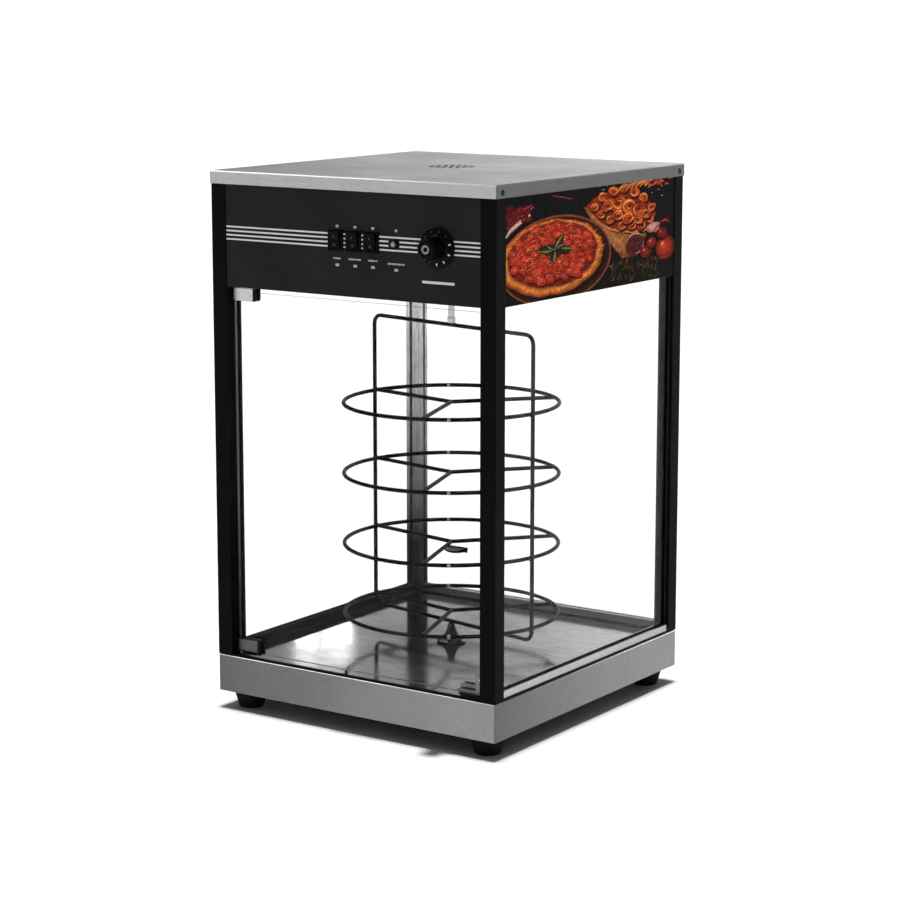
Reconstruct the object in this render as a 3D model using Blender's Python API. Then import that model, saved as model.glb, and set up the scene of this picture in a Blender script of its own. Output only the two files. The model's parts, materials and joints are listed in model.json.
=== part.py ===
"""Rotating hot food display case: a glass warming cabinet with a turning wire rack.

World frame: metres, +Z up, front (control panel and door) towards -Y, +X to the right when
looking at the front.  Everything hangs from the case_frame empty, whose origin is the point on
the table under the rack's axis.  The case is shifted along Y so that its bounding box, knob and
cable gland included, is centred on the world origin.
"""
import math

import bmesh
import bpy
from mathutils import Vector

# ---------------------------------------------------------------- driving dimensions (metres)
GAP = 0.0003                 # clearance between pieces that touch
SHEET = 0.0012               # sheet steel
CUT_REACH = 0.01             # how far a cutter passes a panel's faces
FOOT_H = 0.026
CASE_W = 0.480
CASE_D = 0.495
BASE_H = 0.0544
FLOOR_Z = FOOT_H + BASE_H    # inside floor, also the top of the base
HEADER_Z = 0.6174            # lower edge of the control header
TOP_Z = 0.780

COVER_OVER_X = 0.0015        # the top cover's overhang past the posts
COVER_OVER_Y = 0.0020
COVER_LIP = 0.0181
COVER_BEND = 0.0015
FOLD_R = 0.002               # outside radius of the folded steel's upright corners
VENT_HOLE_R = 0.0037
VENT_PITCH = 0.0100
VENT_RINGS = 3

POST_W = 0.025
POST_D = 0.023
POST_TOP = TOP_Z - SHEET - GAP
GROOVE_DEPTH = 0.007
GROOVE_PLAY = 0.0003

GLASS_T = 0.004
GLASS_PLAY = 0.001           # between a pane and the bottom of the post's groove
SIDE_GLASS_X = 0.229         # inner face of the side panes
REAR_GLASS_Y = 0.2365        # inner face of the rear pane
GLASS_TOP = 0.640
RAIL_W = 0.014
RAIL_H = 0.0125
RAIL_GROOVE = 0.008
THRESHOLD_H = 0.0023
THRESHOLD_D = 0.005

PANEL_RECESS = 0.0010
PANEL_TOP = 0.7775
CEILING_T = 0.002

FOOT_INSET = 0.033
FOOT_TOP_R = 0.025
FOOT_SOLE_R = 0.0165
FOOT_PROFILE = ((FOOT_SOLE_R, 0.0), (FOOT_SOLE_R + 0.0015, 0.0012), (FOOT_TOP_R - 0.0005, 0.0225),
                (FOOT_TOP_R, 0.0240), (FOOT_TOP_R, FOOT_H))

# control panel, positions across (X) and up (Z)
SWITCH_XS = (-0.0224, 0.0078, 0.0377)
SWITCH_Z = 0.6944
SWITCH_NAMES = ("power", "light", "rotate")
SWITCH_W = 0.0258
SWITCH_H = 0.0310
SWITCH_FLANGE = 0.0022
SWITCH_BODY_W = 0.0220
SWITCH_BODY_H = 0.0280
SWITCH_BODY_DEPTH = 0.018
POCKET_W = 0.0168
POCKET_H = 0.0266
POCKET_DEPTH = 0.0075
ROCKER_W = 0.0162
ROCKER_REACH = 0.0129        # pivot to the rocker's outer corners
ROCKER_TILT = math.radians(9)
ROCKER_PIVOT = 0.0008        # pivot behind the panel's face
LAMP_X = 0.0751
LAMP_Z = 0.6935
LAMP_HOLE_R = 0.0060
KNOB_X = 0.1466
KNOB_Z = 0.6930
KNOB_GAP = 0.0008
KNOB_SKIRT_R = 0.028
KNOB_SKIRT_T = 0.003
KNOB_GRIP_R = 0.015
KNOB_DEPTH = 0.029
KNOB_SHAFT_R = 0.003
KNOB_SHAFT = 0.004
KNOB_HOLE_R = 0.005
THERMOSTAT_HALF = 0.018
THERMOSTAT_DEPTH = 0.022
SWITCH_BEVEL = 0.0008
SWITCH_BEVEL_DEPTH = 0.0006
BEZEL_R = 0.0070
BEZEL_BODY_R = 0.0056
BEZEL_BORE_R = 0.0049
BEZEL_FACE = 0.0018
BEZEL_TAIL = -0.010
LENS_PROFILE = ((0.0046, -0.009), (0.0046, 0.0014), (0.0040, 0.0028), (0.0024, 0.0037), (0.0008, 0.0040))

GLAND_X = 0.170
GLAND_Z = 0.650
GLAND_DEPTH = 0.014
GLAND_HOLE_R = 0.0065
GLAND_PROFILE = ((0.0060, -0.012), (0.0060, GAP), (0.0105, GAP), (0.0105, 0.005), (0.0085, 0.007),
                 (0.0070, GLAND_DEPTH), (0.0040, GLAND_DEPTH), (0.0040, -0.012))
TERMINAL_W = 0.060
TERMINAL_Y = (0.190, 0.212)
TERMINAL_H = 0.016

# door: a frameless pane on two pivot clamps at its left edge
DOOR_T = 0.005
DOOR_Y = -0.231              # mid-plane of the pane
DOOR_HALF = 0.212
DOOR_LOW = 0.0856
DOOR_TOP = 0.6095
HINGE_X = -0.207
CLAMP_W = 0.035
CLAMP_T = 0.012
CLAMP_BOTTOM = (0.021, 0.0014)      # height, web under the pane
CLAMP_TOP = (0.0185, 0.0056)        # height, web over the pane
CLAMP_LEFT = -0.212          # close enough to the hinge for the corner to clear the post as it turns
HINGE_PIN_R = 0.0033
PULL_R = 0.018
PULL_T = 0.008
PULL_X = 0.169
PULL_Z = 0.2845
STRIKE_W = 0.012
STRIKE_H = 0.036
STRIKE_FOOT_W = 0.042
STRIKE_FOOT_H = 0.005
STRIKE_T = 0.0012
CATCH_X = (0.170, 0.200)
CATCH_GAP = 0.0005           # between the catch and the pane's back
CATCH_D = 0.014
CATCH_H = 0.016

# rack: a wire hoop carrying four tiers, turned by a hub in the floor
WIRE_R = 0.003
TIER_R = 0.157
TIER_COUNT = 4
TIER_LOW = 0.1272
TIER_PITCH = 0.104
SPOKE_ANGLES = (math.radians(49), math.radians(169), math.radians(289))
HOOP_ANGLE = math.radians(169)
HOOP_HALF = TIER_R + 2 * WIRE_R + GAP
HOOP_LOW = 0.111
HOOP_TOP = 0.552
HOOP_CORNER = 0.013
HUB_R = 0.0228
HUB_LIFT = 0.0008
HUB_FLUTES = 6
SPINDLE_R = 0.004
SPINDLE_LOW = 0.0768
SPINDLE_HOLE_R = 0.007
PIN_R = 0.005
PIN_TOP = 0.628
BUSH_PLAY = 0.00015
BUSH_R = 0.011
BUSH_NECK_R = 0.007
BUSH_LOW = 0.6145
BUSH_TOP = 0.6235
HUB_STEPS = ((0.0215, 0.06, 0.003), (0.0135, 0.10, 0.008), (0.0075, 0.12, 0.016))  # radius, flute, lift
HUB_NECK_R = 0.005
PIN_COLLAR_R = 0.0062
PIN_COLLAR_H = 0.007

MOTOR_R = 0.025
MOTOR_LOW = 0.046
MOTOR_TOP = 0.068
MOTOR_BOSS_R = 0.007
BOSS_PLAY = 0.001
BRACKET_W = 0.086
BRACKET_FOOT = 0.012
BRACKET_D = 0.036
BRACKET_T = 0.0015

BULB_X = -0.110
BULB_Y = 0.160
BULB_R = 0.020
BULB_LOW = 0.567
BULB_NECK_TOP = 0.625
BULB_STEPS = ((0.004, 0.0), (0.012, 0.0025), (0.018, 0.010), (BULB_R, 0.020), (0.018, 0.030), (0.012, 0.042))
BULB_NECK_R = 0.009
BULB_HOLE_PLAY = 0.003
HOLDER_PROFILE = ((0.016, BULB_NECK_TOP + GAP), (0.017, BULB_NECK_TOP + 0.004), (0.017, 0.645),
                  (0.010, 0.655))
HEATER_X = 0.150
HEATER_YS = (-0.060, 0.100)
HEATER_Z = 0.603
HEATER_R = 0.0035
HEATER_END_X = 0.020
HEATER_END_Z = 0.630
HEATER_CORNER = 0.015
HEATER_HOLE_PLAY = 0.001

# the case's middle plane, set so that the whole object is centred on the world origin
PANEL_Y = -CASE_D / 2 + PANEL_RECESS
FRONT_REACH = -PANEL_Y + KNOB_GAP + KNOB_DEPTH
REAR_PANEL_Y = CASE_D / 2 - PANEL_RECESS
REAR_REACH = REAR_PANEL_Y + GLAND_DEPTH
CASE_Y = (FRONT_REACH - REAR_REACH) / 2

# orientations: local +Z faces front (-Y), or runs along +X with local X, Y on world Y, Z
FACE_FRONT = (math.radians(90), 0, 0)
FACE_REAR = (math.radians(-90), 0, 0)
ALONG_X = (math.radians(90), 0, math.radians(90))

BLACK = (0.012, 0.012, 0.013)
CHARCOAL = (0.025, 0.025, 0.026)
STEEL = (0.42, 0.42, 0.43)
BRIGHT = (0.65, 0.65, 0.66)
GLASS = (0.80, 0.84, 0.83)


# ---------------------------------------------------------------- outlines and rings
def circle(radius, segments=32, centre=(0.0, 0.0)):
    """Points round a circle, counter-clockwise."""
    turn = 2 * math.pi / segments
    return [(centre[0] + radius * math.cos(i * turn), centre[1] + radius * math.sin(i * turn))
            for i in range(segments)]


def rectangle(low, high):
    """Corner points of a rectangle, counter-clockwise."""
    return [(low[0], low[1]), (high[0], low[1]), (high[0], high[1]), (low[0], high[1])]


def arc(centre, radius, start, end, steps):
    """Points along an arc, both ends included."""
    return [(centre[0] + radius * math.cos(start + (end - start) * i / steps),
             centre[1] + radius * math.sin(start + (end - start) * i / steps))
            for i in range(steps + 1)]


def rounded(width, depth, radius, steps=3):
    """A rectangle with round corners about the local origin, counter-clockwise."""
    points = []
    for quarter, (sx, sy) in enumerate(((1, 1), (-1, 1), (-1, -1), (1, -1))):
        centre = (sx * (width / 2 - radius), sy * (depth / 2 - radius))
        start = quarter * math.pi / 2
        points += arc(centre, radius, start, start + math.pi / 2, steps)
    return points


def fluted(radius, depth, flutes, segments=36):
    """A circle with shallow flutes."""
    points = []
    for i in range(segments):
        angle = 2 * math.pi * i / segments
        reach = radius * (1 + depth * math.cos(flutes * angle))
        points.append((reach * math.cos(angle), reach * math.sin(angle)))
    return points


def at(outline, height):
    """Lift a flat outline to a height."""
    return [Vector((x, y, height)) for x, y in outline]


def mirrored(outline, flip_x=False, flip_y=False):
    """Mirror an outline, keeping it counter-clockwise."""
    points = [(-x if flip_x else x, -y if flip_y else y) for x, y in outline]
    return list(reversed(points)) if flip_x != flip_y else points


# ---------------------------------------------------------------- solids
def add_loft(mesh, rings, closed=False):
    """Skin a stack of equal rings; the ends are capped unless the stack closes on itself."""
    loops = [[mesh.verts.new(point) for point in ring] for ring in rings]
    pairs = list(zip(loops, loops[1:]))
    if closed:
        pairs.append((loops[-1], loops[0]))
    for lower, upper in pairs:
        count = len(lower)
        for i in range(count):
            j = (i + 1) % count
            mesh.faces.new((lower[i], lower[j], upper[j], upper[i]))
    if not closed:
        mesh.faces.new(list(reversed(loops[0])))
        mesh.faces.new(loops[-1])


def paint(obj, colour, roughness, metallic):
    """Give an object a Principled material of its own."""
    material = bpy.data.materials.new(obj.name + "_material")
    material.use_nodes = True
    shader = material.node_tree.nodes["Principled BSDF"]
    shader.inputs["Base Color"].default_value = (*colour, 1.0)
    shader.inputs["Roughness"].default_value = roughness
    shader.inputs["Metallic"].default_value = metallic
    obj.data.materials.append(material)


def place(obj, parent, location, rotation):
    bpy.context.scene.collection.objects.link(obj)
    obj.parent = parent
    obj.location = location
    obj.rotation_euler = rotation


def mesh_object(name, mesh, parent, location=(0, 0, 0), rotation=(0, 0, 0)):
    bmesh.ops.recalc_face_normals(mesh, faces=mesh.faces)
    data = bpy.data.meshes.new(name)
    mesh.to_mesh(data)
    mesh.free()
    obj = bpy.data.objects.new(name, data)
    place(obj, parent, location, rotation)
    return obj


def solid(name, rings, look, parent, location=(0, 0, 0), rotation=(0, 0, 0), closed=False,
          smooth=False):
    """One closed body skinned over a stack of rings."""
    mesh = bmesh.new()
    add_loft(mesh, rings, closed)
    obj = mesh_object(name, mesh, parent, location, rotation)
    if smooth:
        obj.data.shade_smooth()
        obj.data.set_sharp_from_angle(angle=math.radians(35))
    paint(obj, *look)
    return obj


def block(name, low, high, look, parent):
    """A box between two corners, its origin at its middle."""
    low = Vector(low)
    high = Vector(high)
    middle = (low + high) / 2
    half = (high - low) / 2
    outline = rectangle((-half.x, -half.y), (half.x, half.y))
    return solid(name, [at(outline, -half.z), at(outline, half.z)], look, parent, location=middle)


def extruded(name, outline, start, end, look, parent, location=(0, 0, 0), rotation=(0, 0, 0)):
    """An outline drawn out along the local Z axis."""
    return solid(name, [at(outline, start), at(outline, end)], look, parent, location, rotation)


def tube(name, points, radius, look, parent, cyclic=False):
    """A round wire along a list of points."""
    data = bpy.data.curves.new(name, "CURVE")
    data.dimensions = "3D"
    data.bevel_depth = radius
    data.bevel_resolution = 2
    data.use_fill_caps = True
    spline = data.splines.new("POLY")
    spline.points.add(len(points) - 1)
    for slot, point in zip(spline.points, points):
        slot.co = (*point, 1.0)
    spline.use_cyclic_u = cyclic
    spline.use_smooth = True
    obj = bpy.data.objects.new(name, data)
    place(obj, parent, (0, 0, 0), (0, 0, 0))
    paint(obj, *look)
    return obj


def subtract(target, mesh, location, rotation):
    """Take a mesh away from a piece with an exact boolean."""
    cutter = mesh_object(target.name + "_cutter", mesh, target.parent, location, rotation)
    cutter.hide_render = True
    cutter.display_type = "WIRE"
    modifier = target.modifiers.new("openings", "BOOLEAN")
    modifier.operation = "DIFFERENCE"
    modifier.solver = "EXACT"
    modifier.object = cutter


def cut(target, shapes, depth):
    """Cut outlines right through a plate, from -depth to +depth along its local Z."""
    mesh = bmesh.new()
    for outline in shapes:
        add_loft(mesh, [at(outline, -depth), at(outline, depth)])
    subtract(target, mesh, target.location, target.rotation_euler)


def empty(name, parent, location):
    obj = bpy.data.objects.new(name, None)
    place(obj, parent, location, (0, 0, 0))
    return obj


# ---------------------------------------------------------------- base
def build_base(frame):
    steel = (STEEL, 0.32, 1.0)
    inner_w = CASE_W - 2 * SHEET
    inner_d = CASE_D - 2 * SHEET
    outer = rounded(CASE_W, CASE_D, FOLD_R)
    inner = rounded(inner_w, inner_d, FOLD_R - SHEET)
    crown = rounded(CASE_W - 2 * COVER_BEND, CASE_D - 2 * COVER_BEND, FOLD_R / 2)
    rings = [at(inner, FLOOR_Z - SHEET), at(inner, FOOT_H), at(outer, FOOT_H),
             at(outer, FLOOR_Z - COVER_BEND), at(crown, FLOOR_Z)]
    shell = solid("base_shell", rings, steel, frame)
    cut(shell, [circle(SPINDLE_HOLE_R)], 2 * FLOOR_Z)
    plate = rounded(inner_w - 2 * GAP, inner_d - 2 * GAP, FOLD_R)
    bottom = FOOT_H + GAP
    extruded("bottom_plate", plate, bottom, bottom + SHEET, (STEEL, 0.5, 1.0), frame)
    build_feet(frame)


def build_feet(frame):
    rings = [at(circle(radius, 28), height) for radius, height in FOOT_PROFILE]
    for front, sy in (("front", -1), ("rear", 1)):
        for side, sx in (("left", -1), ("right", 1)):
            spot = (sx * (CASE_W / 2 - FOOT_INSET), sy * (CASE_D / 2 - FOOT_INSET), 0)
            solid(f"foot_{front}_{side}", rings, (BLACK, 0.75, 0.0), frame, location=spot, smooth=True)


# ---------------------------------------------------------------- posts, rails and glass
def post_outline(rear_groove):
    """Section of the right-hand rear post: outer corner at +X +Y, grooves for the panes."""
    x1 = CASE_W / 2
    y1 = CASE_D / 2
    x0 = x1 - POST_W
    y0 = y1 - POST_D
    side = (SIDE_GLASS_X - GROOVE_PLAY, SIDE_GLASS_X + GLASS_T + GROOVE_PLAY)
    rear = (REAR_GLASS_Y - GROOVE_PLAY, REAR_GLASS_Y + GLASS_T + GROOVE_PLAY)
    points = [(x0, y0), (side[0], y0), (side[0], y0 + GROOVE_DEPTH), (side[1], y0 + GROOVE_DEPTH),
              (side[1], y0), (x1, y0), (x1, y1), (x0, y1)]
    if rear_groove:
        points += [(x0, rear[1]), (x0 + GROOVE_DEPTH, rear[1]), (x0 + GROOVE_DEPTH, rear[0]), (x0, rear[0])]
    return points


def build_posts(frame):
    for front, flip_y in (("front", True), ("rear", False)):
        for side, flip_x in (("left", True), ("right", False)):
            outline = mirrored(post_outline(rear_groove=not flip_y), flip_x, flip_y)
            extruded(f"post_{front}_{side}", outline, FLOOR_Z + GAP, POST_TOP, (BLACK, 0.45, 0.0), frame)


def rail_outline(glass_low):
    """Channel section across the pane (local X) and up (local Y)."""
    centre = glass_low + GLASS_T / 2
    low = FLOOR_Z + GAP
    top = FLOOR_Z + GAP + RAIL_H
    seat = top - RAIL_GROOVE
    x0 = centre - RAIL_W / 2
    x1 = centre + RAIL_W / 2
    g0 = glass_low - GROOVE_PLAY
    g1 = glass_low + GLASS_T + GROOVE_PLAY
    return [(x0, low), (x1, low), (x1, top), (g1, top), (g1, seat), (g0, seat), (g0, top), (x0, top)]


def build_rails(frame):
    metal = (BRIGHT, 0.35, 1.0)
    run_y = CASE_D / 2 - POST_D - GAP
    run_x = CASE_W / 2 - POST_W - GAP
    side = rail_outline(SIDE_GLASS_X)
    extruded("rail_bottom_right", side, -run_y, run_y, metal, frame, rotation=FACE_FRONT)
    extruded("rail_bottom_left", mirrored(side, flip_x=True), -run_y, run_y, (BLACK, 0.4, 0.0), frame,
             rotation=FACE_FRONT)
    extruded("rail_bottom_rear", rail_outline(REAR_GLASS_Y), -run_x, run_x, metal, frame, rotation=ALONG_X)
    front = -CASE_D / 2
    block("threshold_front", (-run_x, front + GAP, FLOOR_Z + GAP),
          (run_x, front + THRESHOLD_D, FLOOR_Z + GAP + THRESHOLD_H), (BLACK, 0.5, 0.0), frame)


def build_glass(frame):
    pane = (GLASS, 0.03, 0.0)
    low = FLOOR_Z + GAP + RAIL_H - RAIL_GROOVE + GAP
    reach_y = CASE_D / 2 - POST_D + GROOVE_DEPTH - GLASS_PLAY
    reach_x = CASE_W / 2 - POST_W + GROOVE_DEPTH - GLASS_PLAY
    for side, sx in (("left", -1), ("right", 1)):
        faces = sorted((sx * SIDE_GLASS_X, sx * (SIDE_GLASS_X + GLASS_T)))
        block(f"glass_{side}", (faces[0], -reach_y, low), (faces[1], reach_y, GLASS_TOP), pane, frame)
    block("glass_rear", (-reach_x, REAR_GLASS_Y, low), (reach_x, REAR_GLASS_Y + GLASS_T, GLASS_TOP),
          pane, frame)


# ---------------------------------------------------------------- header and cover
def switch_cutout(x, z):
    half_w = SWITCH_BODY_W / 2 + GAP
    half_h = SWITCH_BODY_H / 2 + GAP
    return rectangle((x - half_w, z - half_h), (x + half_w, z + half_h))


def build_header(frame):
    half_x = CASE_W / 2 - POST_W - GAP
    half_y = CASE_D / 2 - POST_D - GAP
    charcoal = (CHARCOAL, 0.38, 0.0)
    panel = extruded("control_panel", rectangle((-half_x, HEADER_Z), (half_x, PANEL_TOP)), -SHEET, 0,
                     charcoal, frame, location=(0, PANEL_Y, 0), rotation=FACE_FRONT)
    cut(panel, [switch_cutout(x, SWITCH_Z) for x in SWITCH_XS]
        + [circle(LAMP_HOLE_R, 24, (LAMP_X, LAMP_Z)), circle(KNOB_HOLE_R, 24, (KNOB_X, KNOB_Z))], CUT_REACH)
    side_x = CASE_W / 2 - PANEL_RECESS
    for side, sx in (("left", -1), ("right", 1)):
        faces = sorted((sx * side_x, sx * (side_x - SHEET)))
        block(f"header_{side}", (faces[0], -half_y, HEADER_Z), (faces[1], half_y, PANEL_TOP), charcoal, frame)
    rear = extruded("header_rear", rectangle((-half_x, HEADER_Z), (half_x, PANEL_TOP)), 0, SHEET,
                    charcoal, frame, location=(0, REAR_PANEL_Y, 0), rotation=FACE_FRONT)
    cut(rear, [circle(GLAND_HOLE_R, 24, (GLAND_X, GLAND_Z))], CUT_REACH)
    build_ceiling(frame)
    build_cover(frame)


def build_ceiling(frame):
    """Plus-shaped ceiling plate that fits between the posts and the panes."""
    wide_x = SIDE_GLASS_X - GAP
    narrow_x = CASE_W / 2 - POST_W - GAP
    narrow_y = CASE_D / 2 - POST_D - GAP
    front = PANEL_Y + SHEET + GAP
    rear = REAR_GLASS_Y - GAP
    outline = [(-narrow_x, front), (narrow_x, front), (narrow_x, -narrow_y), (wide_x, -narrow_y),
               (wide_x, narrow_y), (narrow_x, narrow_y), (narrow_x, rear), (-narrow_x, rear),
               (-narrow_x, narrow_y), (-wide_x, narrow_y), (-wide_x, -narrow_y), (-narrow_x, -narrow_y)]
    plate = extruded("ceiling_plate", outline, HEADER_Z, HEADER_Z + CEILING_T, (STEEL, 0.35, 1.0), frame)
    holes = [circle(BUSH_NECK_R + GAP, 24), circle(BULB_R + BULB_HOLE_PLAY, 24, (BULB_X, BULB_Y))]
    holes += [circle(HEATER_R + HEATER_HOLE_PLAY, 16, (sx * HEATER_END_X, HEATER_YS[1])) for sx in (-1, 1)]
    cut(plate, holes, 1.0)


def vent_holes():
    """A middle hole with rings of holes round it."""
    holes = [circle(VENT_HOLE_R, 12)]
    for ring in range(1, VENT_RINGS + 1):
        for x, y in circle(ring * VENT_PITCH, 6 * ring):
            holes.append(circle(VENT_HOLE_R, 12, (x, y)))
    return holes


def build_cover(frame):
    outer_w = CASE_W + 2 * COVER_OVER_X
    outer_d = CASE_D + 2 * COVER_OVER_Y
    lip = TOP_Z - COVER_LIP
    outer = rounded(outer_w, outer_d, FOLD_R)
    inner = rounded(outer_w - 2 * SHEET, outer_d - 2 * SHEET, FOLD_R - SHEET)
    crown = rounded(outer_w - 2 * COVER_BEND, outer_d - 2 * COVER_BEND, FOLD_R / 2)
    rings = [at(inner, TOP_Z - SHEET), at(inner, lip), at(outer, lip), at(outer, TOP_Z - COVER_BEND),
             at(crown, TOP_Z)]
    cover = solid("top_cover", rings, (STEEL, 0.28, 1.0), frame)
    cut(cover, vent_holes(), 2 * TOP_Z)


# ---------------------------------------------------------------- controls
def rocker_outline():
    """Side section of a rocker about its pivot: local X is up, local Y is out of the panel."""
    corner = math.radians(31.3)
    tail = math.radians(-10)
    middle_out = 0.005
    back_out = -0.004
    back_half = 0.006
    upper = [(ROCKER_REACH * math.cos(a), ROCKER_REACH * math.sin(a))
             for a in (tail, tail / 2, 0, corner / 3, 2 * corner / 3, corner)]
    lower = [(-x, y) for x, y in reversed(upper)]
    return upper + [(0.0, middle_out)] + lower + [(-back_half, back_out), (back_half, back_out)]


def build_switch(frame, name, x):
    spot = (x, PANEL_Y, SWITCH_Z)
    body = rectangle((-SWITCH_BODY_W / 2, -SWITCH_BODY_H / 2), (SWITCH_BODY_W / 2, SWITCH_BODY_H / 2))
    flange = rectangle((-SWITCH_W / 2, -SWITCH_H / 2), (SWITCH_W / 2, SWITCH_H / 2))
    face = rectangle((-SWITCH_W / 2 + SWITCH_BEVEL, -SWITCH_H / 2 + SWITCH_BEVEL),
                     (SWITCH_W / 2 - SWITCH_BEVEL, SWITCH_H / 2 - SWITCH_BEVEL))
    pocket = rectangle((-POCKET_W / 2, -POCKET_H / 2), (POCKET_W / 2, POCKET_H / 2))
    rings = [at(body, -SWITCH_BODY_DEPTH), at(body, GAP), at(flange, GAP),
             at(flange, SWITCH_FLANGE - SWITCH_BEVEL_DEPTH), at(face, SWITCH_FLANGE),
             at(pocket, SWITCH_FLANGE), at(pocket, -POCKET_DEPTH)]
    solid(f"switch_housing_{name}", rings, (BLACK, 0.35, 0.0), frame, location=spot, rotation=FACE_FRONT)
    axis = empty(f"rocker_axis_{name}", frame, (x, PANEL_Y + ROCKER_PIVOT, SWITCH_Z))
    axis.rotation_euler = (ROCKER_TILT, 0, 0)
    section = [(-y, z) for z, y in rocker_outline()]
    extruded(f"rocker_{name}", section, -ROCKER_W / 2, ROCKER_W / 2, (BLACK, 0.3, 0.0), axis,
             rotation=ALONG_X)


def build_indicator(frame):
    spot = (LAMP_X, PANEL_Y, LAMP_Z)
    shoulder = BEZEL_FACE - SWITCH_BEVEL_DEPTH
    bezel = ((BEZEL_BODY_R, BEZEL_TAIL), (BEZEL_BODY_R, GAP), (BEZEL_R, GAP), (BEZEL_R, shoulder),
             (BEZEL_R - SWITCH_BEVEL, BEZEL_FACE), (BEZEL_BORE_R + GAP, BEZEL_FACE), (BEZEL_BORE_R, shoulder),
             (BEZEL_BORE_R, BEZEL_TAIL))
    solid("indicator_bezel", [at(circle(r, 24), z) for r, z in bezel], (BLACK, 0.3, 0.0), frame,
          location=spot, rotation=FACE_FRONT, closed=True, smooth=True)
    lens = [at(circle(r, 24), z) for r, z in LENS_PROFILE]
    solid("indicator_lens", lens, ((0.30, 0.30, 0.30), 0.15, 0.0), frame, location=spot,
          rotation=FACE_FRONT, smooth=True)


def build_knob(frame):
    spot = (KNOB_X, PANEL_Y - KNOB_GAP, KNOB_Z)
    profile = ((KNOB_SHAFT_R, -KNOB_SHAFT), (KNOB_SHAFT_R, 0), (KNOB_SKIRT_R - 0.0005, 0),
               (KNOB_SKIRT_R, 0.0005), (KNOB_SKIRT_R, KNOB_SKIRT_T - 0.001),
               (KNOB_SKIRT_R - 0.001, KNOB_SKIRT_T), (KNOB_GRIP_R + 0.001, KNOB_SKIRT_T + 0.0005),
               (KNOB_GRIP_R, KNOB_SKIRT_T + 0.002), (KNOB_GRIP_R - 0.0005, KNOB_DEPTH - 0.0015),
               (KNOB_GRIP_R - 0.002, KNOB_DEPTH))
    solid("thermostat_knob", [at(circle(r, 36), z) for r, z in profile], (BLACK, 0.35, 0.0), frame,
          location=spot, rotation=FACE_FRONT, smooth=True)
    back = PANEL_Y - KNOB_GAP + KNOB_SHAFT + GAP
    half = THERMOSTAT_HALF
    block("thermostat_body", (KNOB_X - half, back, KNOB_Z - half),
          (KNOB_X + half, back + THERMOSTAT_DEPTH, KNOB_Z + half), ((0.55, 0.53, 0.48), 0.5, 0.0), frame)


def build_supply(frame):
    solid("cable_gland", [at(circle(r, 24), z) for r, z in GLAND_PROFILE], (BLACK, 0.5, 0.0), frame,
          location=(GLAND_X, REAR_PANEL_Y, GLAND_Z), rotation=FACE_REAR, closed=True, smooth=True)
    low = HEADER_Z + CEILING_T + GAP
    block("terminal_block", (GLAND_X - TERMINAL_W, TERMINAL_Y[0], low),
          (GLAND_X, TERMINAL_Y[1], low + TERMINAL_H), ((0.75, 0.73, 0.66), 0.5, 0.0), frame)


# ---------------------------------------------------------------- heat, light and drive
def build_lamp(frame):
    bulb = [at(circle(r, 24), BULB_LOW + lift) for r, lift in BULB_STEPS]
    bulb.append(at(circle(BULB_NECK_R, 24), BULB_NECK_TOP))
    solid("lamp_bulb", bulb, ((0.9, 0.9, 0.85), 0.2, 0.0), frame, location=(BULB_X, BULB_Y, 0), smooth=True)
    holder = [at(circle(r, 24), z) for r, z in HOLDER_PROFILE]
    solid("lamp_holder", holder, ((0.85, 0.83, 0.78), 0.4, 0.0), frame, location=(BULB_X, BULB_Y, 0),
          smooth=True)


def heater_path():
    """A hairpin under the ceiling whose two ends rise through it."""
    near, far = HEATER_YS
    r = HEATER_CORNER
    quarter = math.pi / 2
    flat = [(HEATER_END_X + r, far)]
    flat += arc((HEATER_X - r, far - r), r, quarter, 0, 4)
    flat += arc((HEATER_X - r, near + r), r, 0, -quarter, 4)
    right = [Vector((x, y, HEATER_Z)) for x, y in flat]
    bend = [Vector((HEATER_END_X + r - r * math.sin(a), far, HEATER_Z + r - r * math.cos(a)))
            for a in (quarter, 0.75 * quarter, 0.5 * quarter, 0.25 * quarter)]
    right = [Vector((HEATER_END_X, far, HEATER_END_Z))] + bend + right
    left = [Vector((-p.x, p.y, p.z)) for p in reversed(right)]
    return right + left


def build_heater(frame):
    tube("heating_element", heater_path(), HEATER_R, ((0.30, 0.28, 0.26), 0.4, 1.0), frame)


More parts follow.
